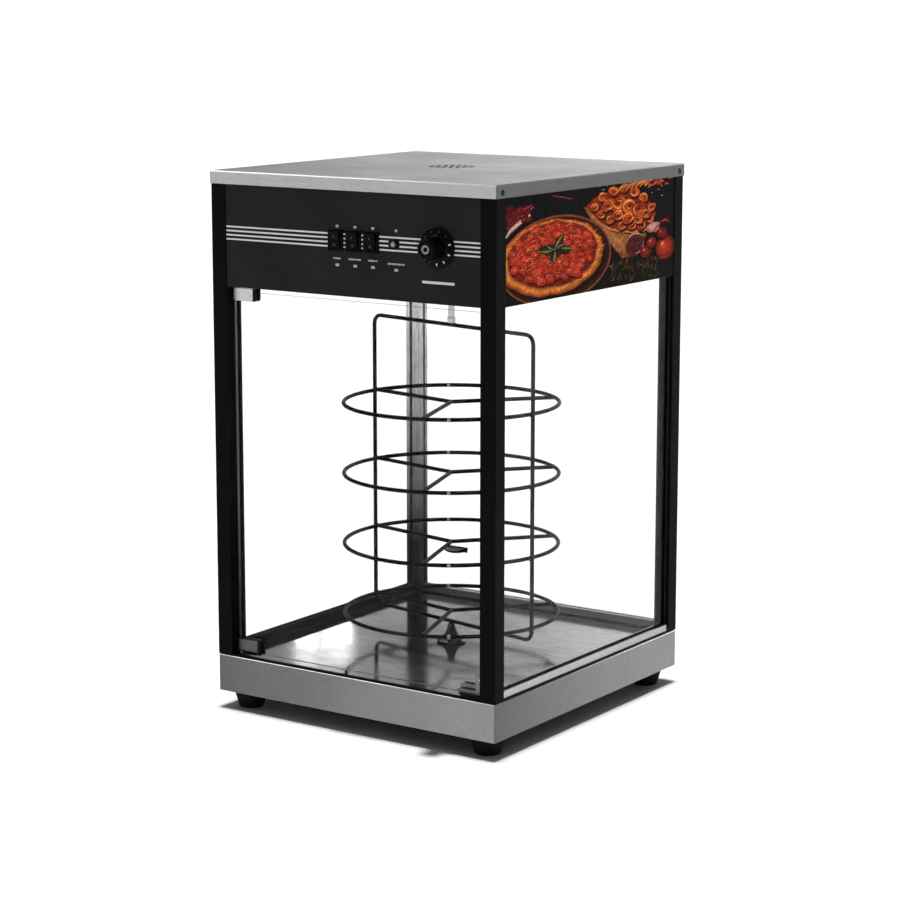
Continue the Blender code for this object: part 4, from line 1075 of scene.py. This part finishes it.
class Picture:
    """A drawing on the side panel, in mm: u from front to rear, v up; later shapes lie over earlier."""

    def __init__(self, low, high):
        self.mesh = bmesh.new()
        self.tint = self.mesh.verts.layers.float_color.new("print")
        self.low = low
        self.high = high
        self.depth = PICTURE_FACE

    def point(self, u, v, colour):
        u = min(max(u, self.low[0]), self.high[0])
        v = min(max(v, self.low[1]), self.high[1])
        vert = self.mesh.verts.new((self.depth, u * MM, v * MM))
        vert[self.tint] = (*colour, 1.0)
        return vert

    def over(self):
        self.depth += PICTURE_LAYER

    def fan(self, outline, middle, inner, outer):
        """An outline filled from a middle point, shaded from the inner to the outer colour."""
        self.over()
        centre = self.point(*middle, inner)
        ring = [self.point(u, v, outer) for u, v in outline]
        for i, vert in enumerate(ring):
            self.mesh.faces.new((centre, vert, ring[(i + 1) % len(ring)]))

    def oval(self, u, v, ru, rv, inner, outer, turn=0.0, wobble=0.0, picker=None, segments=22,
             off=(0.0, 0.0)):
        points = []
        for i in range(segments):
            angle = 2 * math.pi * i / segments
            reach = 1 + (wobble * (picker.random() - 0.5) if wobble else 0.0)
            x = ru * math.cos(angle) * reach
            y = rv * math.sin(angle) * reach
            points.append((u + x * math.cos(turn) - y * math.sin(turn),
                           v + x * math.sin(turn) + y * math.cos(turn)))
        self.fan(points, (u + off[0], v + off[1]), inner, outer)

    def band(self, lines, colours):
        """Strips between equal lists of points, each list with its own colour."""
        self.over()
        rows = [[self.point(u, v, colour) for u, v in line] for line, colour in zip(lines, colours)]
        for first, second in zip(rows, rows[1:]):
            for i in range(len(first) - 1):
                quad = (first[i], first[i + 1], second[i + 1], second[i])
                if len({tuple(vert.co) for vert in quad}) > 2:
                    self.mesh.faces.new(quad)

    def stroke(self, points, width, edge, middle, taper=True):
        """A brush stroke along a path, lighter down its middle."""
        rows = ([], [], [])
        count = len(points) - 1
        for i, (u, v) in enumerate(points):
            before = points[max(i - 1, 0)]
            after = points[min(i + 1, count)]
            along = Vector((after[0] - before[0], after[1] - before[1])).normalized()
            side = Vector((-along.y, along.x))
            half = width / 2 * (math.sin(math.pi * (i + 0.35) / (count + 0.7)) ** 0.6 if taper else 1.0)
            rows[0].append((u + side.x * half, v + side.y * half))
            rows[1].append((u, v))
            rows[2].append((u - side.x * half, v - side.y * half))
        self.band(rows, (edge, middle, edge))

    def curl(self, u, v, ru, rv, width, start, sweep, edge, middle):
        points = [(u + ru * math.cos(start + sweep * i / 16), v + rv * math.sin(start + sweep * i / 16))
                  for i in range(17)]
        self.stroke(points, width, edge, middle, taper=sweep < 6.2)

    def leaf(self, u, v, length, width, turn):
        def along(share, off):
            x = length * share
            y = width * off * math.sin(math.pi * share) ** 0.8
            return (u + x * math.cos(turn) - y * math.sin(turn),
                    v + (x * math.sin(turn) + y * math.cos(turn)) * 0.62)

        spine = [along(i / 10, 0.0) for i in range(11)]
        self.band(([along(i / 10, 0.68) for i in range(11)], spine,
                   [along(i / 10, -0.68) for i in range(11)]),
                  (LEAF_DARK, LEAF_DARK, LEAF_DARK))
        self.band(([along(i / 10, 0.5) for i in range(11)], [along(i / 10, 0.2) for i in range(11)], spine,
                   [along(i / 10, -0.25) for i in range(11)], [along(i / 10, -0.5) for i in range(11)]),
                  (LEAF, LEAF_LIGHT, LEAF_DARK, LEAF, LEAF_DARK))


def vary(colour, picker, amount=0.3):
    """A colour made lighter or darker by chance."""
    shade = 1 + amount * (picker.random() - 0.5) * 2
    return tuple(min(c * shade, 1.0) for c in colour)


def draw_pizza(art, picker):
    """The whole pizza on its pan, its crust, slices of sausage and leaves."""
    art.oval(-90, 669, 143, 61, (0.16, 0.030, 0.014), (0.24, 0.060, 0.030), segments=64)
    art.oval(-90, 669, 139.5, 58, NIGHT, (0.03, 0.008, 0.005), segments=64)
    art.oval(-93, 669, 131, 52, NIGHT, NIGHT, segments=64)
    edge = []
    for i in range(73):
        angle = 2 * math.pi * i / 72
        swell = 1 + 0.012 * math.sin(9 * angle) + 0.010 * math.sin(17 * angle + 1)
        edge.append((math.cos(angle), math.sin(angle), swell))
    rows = []
    for u, v, ru, rv in ((-100, 673.5, 133, 52), (-100, 674.2, 128, 50), (-100, 675.5, 121, 47),
                         (-99, 677, 113, 43.5)):
        rows.append([(u + ru * c * s, v + rv * n * s) for c, n, s in edge])
    art.fan(rows[0][:-1], (-98, 677), SAUCE, CRUST_DARK)
    art.band(rows, ((0.14, 0.022, 0.010), CRUST, CRUST_LIGHT, (0.30, 0.050, 0.016)))
    for _ in range(40):
        angle = picker.random() * 2 * math.pi
        u = -100 + 125 * math.cos(angle)
        v = 675 + 48.5 * math.sin(angle)
        art.oval(u, v, 5 + 7 * picker.random(), 0.9 + 1.2 * picker.random(), vary(CRUST_LIGHT, picker),
                 vary(CRUST, picker), turn=0.4 * picker.random(), segments=12)
    art.fan([(-99 + 112 * c * s, 678 + 43 * n * s) for c, n, s in edge[:-1]], (-99, 678), SAUCE, SLICE_RIM)
    spots = []
    for i in range(88):
        share = math.sqrt((i + 0.5) / 88)
        angle = i * 2.399963
        spots.append((-99 + 104 * share * math.cos(angle) + 4 * (picker.random() - 0.5),
                      678.5 + 38 * share * math.sin(angle) + 2 * (picker.random() - 0.5)))
    for u, v in sorted(spots, key=lambda spot: -spot[1]):
        ru = 11 + 5 * picker.random()
        rv = 5.0 + 1.8 * picker.random()
        lean = 0.7 * (picker.random() - 0.5)
        art.oval(u + 0.8, v - 1.4, ru * 1.06, rv * 1.08, (0.05, 0.005, 0.003), (0.022, 0.003, 0.002), lean,
                 0.1, picker)
        body = vary(SLICE, picker, 0.4)
        art.oval(u, v, ru, rv, vary((0.62, 0.066, 0.026), picker, 0.5), body, lean, 0.1, picker,
                 off=(-2, 1.2))
        art.curl(u - 0.5, v + 0.3, ru * 0.84, rv * 0.80, 1.5, 0.9 + picker.random(), 1.6 + picker.random(),
                 body,
                 vary((0.95, 0.22, 0.09), picker))
        art.curl(u, v, ru * 0.50, rv * 0.48, 1.6, 3.2 + picker.random(), 2.6, body,
                 vary((0.16, 0.012, 0.006), picker))
        if picker.random() < 0.35:
            art.oval(u + 3 * (picker.random() - 0.5), v + 1.5 * (picker.random() - 0.5), 1.8, 0.8, CREAM,
                     vary((0.72, 0.22, 0.12), picker), lean, segments=10)
    art.oval(-96, 683, 34, 9, (0.030, 0.012, 0.006), (0.09, 0.012, 0.006), -0.1, 0.5, picker)
    for u, v, length, width, degrees in ((-98, 684, 43, 12, 177), (-96, 684, 47, 12, -7),
                                         (-96, 684, 37, 14, 54),
                                         (-97, 683, 28, 13, 258), (-96, 684, 24, 9, 152), (-94, 684, 22, 9,
                                                                                           22)):
        art.leaf(u, v, length, width, math.radians(degrees))
    art.oval(-97, 684, 2.6, 1.4, LEAF_LIGHT, LEAF, segments=10)


def draw_second_slice(art, picker):
    """A heaped slice on a wooden board, up at the rear."""
    board = [(-22, 737), (-3, 719), (47, 685), (85, 656), (110, 657), (152, 683), (150, 704), (28, 716),
             (-10, 733)]
    art.fan([(u + 2, v - 3) for u, v in board], (70, 680), NIGHT, (0.02, 0.007, 0.004))
    art.fan(board, (62, 690), WOOD, (0.24, 0.070, 0.022))
    for i in range(11):
        shift = 4.4 * i
        art.stroke([(-14 + shift, 731 - 1.4 * i), (34 + shift, 697 - 1.6 * i),
                    (68 + shift * 0.8, 668 - 0.4 * i)], 1.1,
                   WOOD, vary((0.62, 0.26, 0.08), picker))
    heap = [(-16, 735), (4, 745), (38, 752), (72, 757), (110, 753), (142, 743), (166, 727), (178, 712),
            (168, 699),
            (148, 690), (114, 690), (82, 694), (52, 699), (26, 708), (2, 723)]
    art.fan([(u + 2, v - 3.0) for u, v in heap], (80, 722), NIGHT, NIGHT)
    art.fan(heap, (80, 722), (0.08, 0.008, 0.004), (0.26, 0.030, 0.010))
    art.stroke([(-12, 733), (4, 722), (26, 708.5), (52, 699.5), (82, 694.5), (114, 690.8), (148, 691),
                (168, 700)], 5.0,
               (0.20, 0.030, 0.012), (0.74, 0.26, 0.07))
    curls = [(8, 733, 12), (30, 746, 13), (26, 722, 12), (58, 752, 13), (52, 713, 13), (88, 754, 13),
             (84, 702, 13),
             (118, 747, 14), (112, 700, 12), (142, 738, 13), (138, 698, 12), (166, 722, 12), (162, 706,
                                                                                              11), (44, 734,
                                                                                                    17),
             (74, 735, 20), (72, 718, 16), (102, 728, 21), (100, 712, 17), (130, 722, 19), (128, 708,
                                                                                            14), (150, 714,
                                                                                                  14)]
    for u, v, r in curls:
        tone = vary((0.52, 0.060, 0.012), picker, 0.35)
        lean = 0.7 * (picker.random() - 0.4)
        art.oval(u + 1.5, v - 2.2, r * 1.08, r * 0.52, (0.03, 0.004, 0.002), (0.020, 0.003, 0.002), lean)
        art.oval(u, v, r, r * 0.46, (0.10, 0.008, 0.003), tone, lean)
        start = picker.random() * 6.28
        art.curl(u, v + 0.5, r * 0.76, r * 0.36, 0.36 * r, start, 4.9, vary((0.26, 0.018, 0.006), picker),
                 vary((0.95, 0.22, 0.035), picker))
        art.curl(u + 1, v, r * 0.34, r * 0.15, 0.22 * r, start + 2.0, 3.6, (0.14, 0.010, 0.004),
                 vary((0.86, 0.20, 0.035), picker))
        art.curl(u, v + 0.5, r * 0.80, r * 0.40, 0.08 * r, start + 0.8, 1.3, (1.0, 0.36, 0.08),
                 (1.0, 0.62, 0.24))
    for i in range(7):
        u = 66 + 13 * i
        art.stroke([(u, 749 + i), (u + 12, 756 + 0.8 * i), (u + 30, 760 + 0.5 * i)], 4.2,
                   (0.32, 0.035, 0.010),
                   vary((0.90, 0.30, 0.06), picker))
    for _ in range(15):
        u = 140 + 74 * picker.random()
        v = 751 + 11 * picker.random()
        art.stroke([(u, v), (u + 5, v + 3), (u + 12, v + 4 * picker.random())], 2.8, (0.30, 0.018, 0.010),
                   vary((0.84, 0.13, 0.05), picker))


def draw_board_things(art, picker):
    """Herbs, a bowl, tomatoes and scraps round the lower rear corner."""
    for _ in range(130):
        u = 48 + 140 * picker.random()
        v = 622 + 30 * picker.random() - 0.03 * (u - 48)
        lean = (picker.random() - 0.5) * 20
        bright = picker.random() ** 2
        straw = (0.05 + 0.24 * bright, 0.035 + 0.14 * bright, 0.016 + 0.06 * bright)
        art.stroke([(u, v), (u + lean * 0.5, v + 2.5), (u + lean, v + 4 + 4 * picker.random())], 1.5,
                   (0.022, 0.014, 0.007), vary(straw, picker, 0.5))
    art.stroke([(132, 652), (160, 638), (196, 622)], 3.0, NIGHT, (0.07, 0.045, 0.03))
    art.oval(120, 672, 26, 15.5, (0.020, 0.006, 0.006), (0.10, 0.018, 0.012), 0.15, segments=30)
    art.curl(120, 674, 25, 14.5, 3.2, 0.7, 2.4, WOOD_DARK, (0.86, 0.46, 0.26))
    art.curl(121, 673, 22, 13, 2.6, 4.6, 2.0, (0.12, 0.02, 0.02), (0.72, 0.34, 0.34))
    for _ in range(14):
        art.oval(116 + 24 * (picker.random() - 0.5), 670 + 13 * (picker.random() - 0.5), 4.0, 2.0,
                 vary((0.26, 0.030, 0.024), picker, 0.6), (0.03, 0.006, 0.006), picker.random(), segments=10)
    for u, v, ru, rv, tone in ((150, 660, 17, 9, (0.34, 0.030, 0.014)),
                               (166, 672, 15, 8, (0.44, 0.045, 0.020)),
                               (206, 662, 28, 17.5, (0.66, 0.062, 0.018)), (196, 683, 15, 8,
                                                                            (0.30, 0.022, 0.012))):
        art.oval(u + 1, v - 1.6, ru * 1.04, rv * 1.06, NIGHT, NIGHT, segments=28)
        art.oval(u, v, ru, rv, tone, (0.09, 0.006, 0.004), segments=28, off=(-ru * 0.25, rv * 0.25))
        art.oval(u - ru * 0.30, v + rv * 0.34, ru * 0.22, rv * 0.14, (0.90, 0.42, 0.30), tone, 0.3,
                 segments=12)
    art.oval(203, 648, 18, 3.4, (0.34, 0.03, 0.012), (0.12, 0.010, 0.006), -0.05)
    art.oval(170, 694, 20, 7.5, (0.86, 0.52, 0.40), (0.30, 0.060, 0.040), 0.1, 0.2, picker, off=(-5, 2))
    art.oval(180, 690, 9, 4, (0.66, 0.20, 0.14), (0.34, 0.05, 0.03), 0.3, 0.2, picker)
    art.stroke([(192, 700), (204, 702), (216, 699)], 5, (0.10, 0.008, 0.006), (0.42, 0.04, 0.022))


def draw_front_corner(art, picker):
    """A pale rim with dark toppings at the upper front, and crumbs along the top."""
    art.stroke([(-226, 709), (-206, 717), (-184, 726), (-156, 735)], 8.0, (0.24, 0.045, 0.040),
               (0.90, 0.60, 0.50))
    art.stroke([(-214, 721), (-180, 734), (-148, 745)], 2.4, (0.10, 0.012, 0.012), (0.44, 0.14, 0.12))
    for _ in range(34):
        u = -222 + 62 * picker.random()
        v = 727 + 20 * picker.random()
        art.oval(u, v, 4 + 8 * picker.random(), 2 + 2.6 * picker.random(),
                 vary((0.34, 0.018, 0.020), picker, 0.6),
                 (0.06, 0.005, 0.006), picker.random() - 0.2, 0.3, picker, segments=12)
    art.stroke([(-176, 742), (-160, 746), (-150, 748)], 2.2, (0.10, 0.010, 0.010), (0.46, 0.07, 0.06))
    art.stroke([(-102, 757), (-74, 753), (-50, 749)], 2.4, (0.05, 0.012, 0.010), (0.30, 0.050, 0.035))
    for _ in range(40):
        u = 10 + 200 * picker.random()
        v = 736 + 26 * picker.random()
        art.oval(u, v, 0.9 + 1.6 * picker.random(), 0.6 + 0.8 * picker.random(), vary(CREAM, picker, 0.5),
                 (0.30, 0.10, 0.06), segments=8)


def build_pictures(material):
    """The same generic pizza picture on both side panels."""
    low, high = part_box("header_right")
    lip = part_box("top_cover")[0].z
    picker = random.Random(29)
    art = Picture(((low.y + 0.0004) / MM, (low.z + 0.0003) / MM),
                  ((high.y - 0.0004) / MM, (lip + 0.004) / MM))
    columns = [art.low[0] + (art.high[0] - art.low[0]) * i / 12 for i in range(13)]
    heights = (art.low[1], (art.low[1] + art.high[1]) / 2, art.high[1])
    art.band([[(u, v) for u in columns] for v in heights],
             ((0.0070, 0.0055, 0.0050), (0.0075, 0.0055, 0.0050), (0.0055, 0.0055, 0.0055)))
    draw_front_corner(art, picker)
    draw_second_slice(art, picker)
    draw_board_things(art, picker)
    draw_pizza(art, picker)
    for vert in art.mesh.verts:
        vert.co.x += SIDE_FACE
    twin = art.mesh.copy()
    bmesh.ops.transform(twin, matrix=Matrix.Translation((0, 2 * CASE_Y, 0)) @ Matrix.Rotation(math.pi, 4,
                                                                                              "Z"),
                        verts=twin.verts)
    piece("side_picture_right", art.mesh, material, "case")
    piece("side_picture_left", twin, material, "case")


# ---------------------------------------------------------------- dressing the CAD nodes
def dress_frame():
    """Give every CAD node its finish, and hand back the looks that the added pieces share."""
    # painted shade: the cover's top is a darker grey and its side lips a far darker tone than its front lip;
    # its vent's walls are painted nearly black
    cover = brushed("cover_steel", 0.46, 0.30, top_grey=0.30, side=0.28, painted_vent_shade=True)
    # painted light and shade on the base: sides and front graded along their length, underside nearly black,
    # a dark reflection in the middle of its inside floor
    base = brushed("base_steel", 0.205, 0.34, low_rough=0.11, top_grey=0.20, streak=0.35, wear_and_painted_light=True)
    rail = brushed("rail_aluminium", 0.42, 0.30)
    ceiling = brushed("ceiling_steel", 0.62, 0.28)
    zinc = galvanised("zinc_sheet")
    post = powder_coat("post_black", (0.0032, 0.0032, 0.0033), 0.48, depth=0.12, specular=0.03)
    panel = powder_coat("panel_charcoal", (0.0155, 0.0155, 0.0158), 0.46, 700.0, 0.15, specular=0.055)
    rubber = moulded("foot_rubber", (0.006, 0.006, 0.006), 0.72, specular=0.1, grain=600.0, depth=0.3)
    black = moulded("switch_black", (0.0015, 0.0015, 0.0016), 0.30, specular=0.05)
    wire = enamel_wire("rack_enamel")
    chrome = plated("fitting_plate", 0.60, 0.30)
    cream = moulded("cream_moulding", (0.62, 0.58, 0.50), 0.5)
    dress(cover, "top_cover")
    dress(base, "base_shell")
    dress(rail, "rail_bottom_right", "rail_bottom_rear")
    dress(ceiling, "ceiling_plate")
    dress(zinc, "bottom_plate", "motor_bracket", "gear_motor")
    # painted dark reflection: the left bottom rail, an aluminium extrusion like the right and rear rails,
    # takes the black post finish
    dress(post, "post_front_left", "post_front_right", "post_rear_right", "rail_bottom_left",
          "threshold_front")
    # painted reflection and shade on the inner faces of the rear left post
    dress(inner_post("post_inner_painted_reflection"), "post_rear_left")
    dress(panel, "control_panel", "header_left", "header_right", "header_rear")
    dress(rubber, "foot_front_left", "foot_front_right", "foot_rear_left", "foot_rear_right")
    dress(black, *(f"{kind}_{name}" for kind in ("switch_housing", "rocker") for name in SWITCHES))
    dress(black, "indicator_bezel")
    dress(lens_plastic("indicator_clear"), "indicator_lens")
    dress(wire, "rack_hoop", *(f"tier_{kind}_{number}" for kind in ("ring", "spokes") for number in TIERS))
    dress(chrome, "hinge_clamp_top", "hinge_pin_top", "hinge_pin_bottom", "pivot_pin")
    dress(plated("clamp_dull", 0.13, 0.42), "hinge_clamp_bottom")
    dress(plated("bush_metal", 0.5, 0.35), "pivot_bush")
    dress(cream, "thermostat_body", "terminal_block", "lamp_holder")
    dress(heated_steel("element_sheath"), "heating_element")
    dress(frosted_bulb("bulb_frost"), "lamp_bulb")
    dress(pane("glass_side", "X"), "glass_left", "glass_right")
    dress(pane("glass_across", "Y"), "glass_rear", "door_glass")
    soften(0.0006, "post_front_left", "post_front_right", "post_rear_left", "post_rear_right")
    soften(0.0004, "rail_bottom_left", "rail_bottom_right", "rail_bottom_rear")
    soften(0.0011, "hinge_clamp_top", "hinge_clamp_bottom")
    soften(0.0005, *(f"rocker_{name}" for name in SWITCHES))
    return {"black": black, "chrome": chrome, "wire": wire, "rail": rail, "rubber": rubber}


def build_details(looks):
    """Add the pieces that the CAD leaves out, in their own finishes."""
    white = ink("print_silver", 0.74)
    grey = ink("print_grey", 0.46)
    faint = ink("print_faint", 0.07)
    knob = moulded("knob_black", (0.0015, 0.0015, 0.0016), 0.30, specular=0.06)
    build_panel_print(white, grey)
    build_knob(knob, plated("knob_ring", 0.30, 0.35), white, faint, looks["black"])
    build_rocker_marks(faint)
    build_hub(moulded("hub_black", (0.002, 0.002, 0.0022), 0.08, specular=0.8))
    # the second finish is for the bright bands on the rings, painted highlights
    build_welds(enamel_wire("weld_bead", 0.4), plated("ring_glint_metal", 0.50, 0.40))
    # the third finish is the dish's lighter grey, a painted highlight
    build_door_pull(looks["black"], looks["rubber"], moulded("pull_dish_painted_highlight", (0.16, 0.16, 0.16), 0.35))
    fitting = brushed("strike_steel", 0.17, 0.36, streak=0.6)
    build_strike(fitting, looks["chrome"])
    build_catch(fitting, looks["black"], looks["chrome"])
    build_clamp_pads(looks["rubber"], looks["chrome"])
    build_door_stop(looks["rubber"])
    build_gaskets(moulded("gasket_rubber", (0.004, 0.004, 0.004), 0.6, specular=0.08, grain=900.0))
    build_cover_screws(plated("screw_dark", 0.035, 0.45))
    build_rear_details(looks["rubber"], plated("screw_zinc", 0.45, 0.35))
    build_pictures(food_print("side_print"))


# ---------------------------------------------------------------- stage, light and camera
def build_stage():
    """A matt, nearly even floor that reaches past the horizon."""
    material, tree, shader = new_look("studio_floor")
    shader.inputs["Specular IOR Level"].default_value = 0.1
    paper = noise(tree, coordinates(tree), 3.0, 3.0, 0.5)
    finish_look(tree, shader, blend_colours(tree, paper, (0.293, 0.293, 0.293), (0.300, 0.300, 0.300)),
                spread(tree, paper, 0.75, 0.85))
    mesh = bmesh.new()
    rim = [mesh.verts.new((x, y, -FLOOR_DROP)) for x, y in circle(FLOOR_RADIUS, 96)]
    mesh.faces.new(rim)
    floor = place_mesh("studio_floor", mesh)
    floor.data.materials.append(material)
    return floor


def add_light(name, kind, power):
    data = bpy.data.lights.new(name, kind)
    data.energy = power
    light = bpy.data.objects.new(name, data)
    bpy.context.scene.collection.objects.link(light)
    return light


def area_light(name, place, target, size, power):
    light = add_light(name, "AREA", power)
    light.data.shape = "RECTANGLE"
    light.data.size = size[0]
    light.data.size_y = size[1]
    light.location = place
    light.rotation_euler = (Vector(target) - Vector(place)).to_track_quat("-Z", "Y").to_euler()
    light.visible_camera = False
    return light


def build_room():
    """A pale room, brighter at the back and overhead, and white wherever the camera sees past the floor."""
    world = bpy.data.worlds.new("studio")
    bpy.context.scene.world = world
    world.use_nodes = True
    tree = world.node_tree
    background = tree.nodes["Background"]
    direction = texture_source(tree, "Generated")
    behind = vector_maths(tree, "DOT_PRODUCT", direction, tuple(Vector(ROOM_BACK).normalized()))
    level = spread(tree, behind, 0.0, 1.0, 0.74, 0.95, True)
    key = vector_maths(tree, "DOT_PRODUCT", direction, ROOM_FRONT)
    fill = spread(tree, key, 0.08, 0.20, -0.9, 0.9)
    height = node(tree, "ShaderNodeSeparateXYZ", {0: direction}).outputs["Z"]
    dome = spread(tree, height, 0.0, 0.75, 0.45, 0.95, True)
    strength = plus(tree, times(tree, level, 1.35), plus(tree, fill, dome))
    seen = node(tree, "ShaderNodeLightPath").outputs["Is Camera Ray"]
    strength = maths(tree, "MAXIMUM", strength, times(tree, seen, 1.3))
    tree.links.new(strength, background.inputs["Strength"])
    background.inputs["Color"].default_value = (1.0, 1.0, 1.0, 1.0)


def build_light(floor):
    """A lamp straight above that lights only the floor, softboxes for all but the floor, and two windows."""
    build_room()
    overhead = add_light("overhead", "SUN", OVERHEAD[0])
    overhead.data.angle = math.radians(OVERHEAD[1])
    lit = bpy.data.collections.new("lit_by_overhead")
    lit.objects.link(floor)
    overhead.light_linking.receiver_collection = lit
    unlit = bpy.data.collections.new("unlit_by_softboxes")
    unlit.objects.link(floor)
    unlit.collection_objects[0].light_linking.link_state = "EXCLUDE"
    for name, place, size, power in SOFTBOXES:
        box = area_light(name, place, (0, 0, 0.3), (size, size), power)
        box.light_linking.receiver_collection = unlit
    for window in WINDOWS:
        area_light(*window)


def build_camera():
    """The place, turn and lens that match the photo."""
    data = bpy.data.cameras.new("photo_camera")
    data.sensor_width = 36.0
    data.lens = CAMERA_LENS
    data.clip_end = 400.0
    camera = bpy.data.objects.new("photo_camera", data)
    bpy.context.scene.collection.objects.link(camera)
    camera.location = CAMERA_PLACE
    camera.rotation_euler = (math.radians(90 - CAMERA_DOWN), 0, math.radians(CAMERA_TURN))
    bpy.context.scene.camera = camera


build_details(dress_frame())
studio_floor = build_stage()
build_light(studio_floor)
build_camera()
bpy.context.scene.view_settings.view_transform = "Standard"
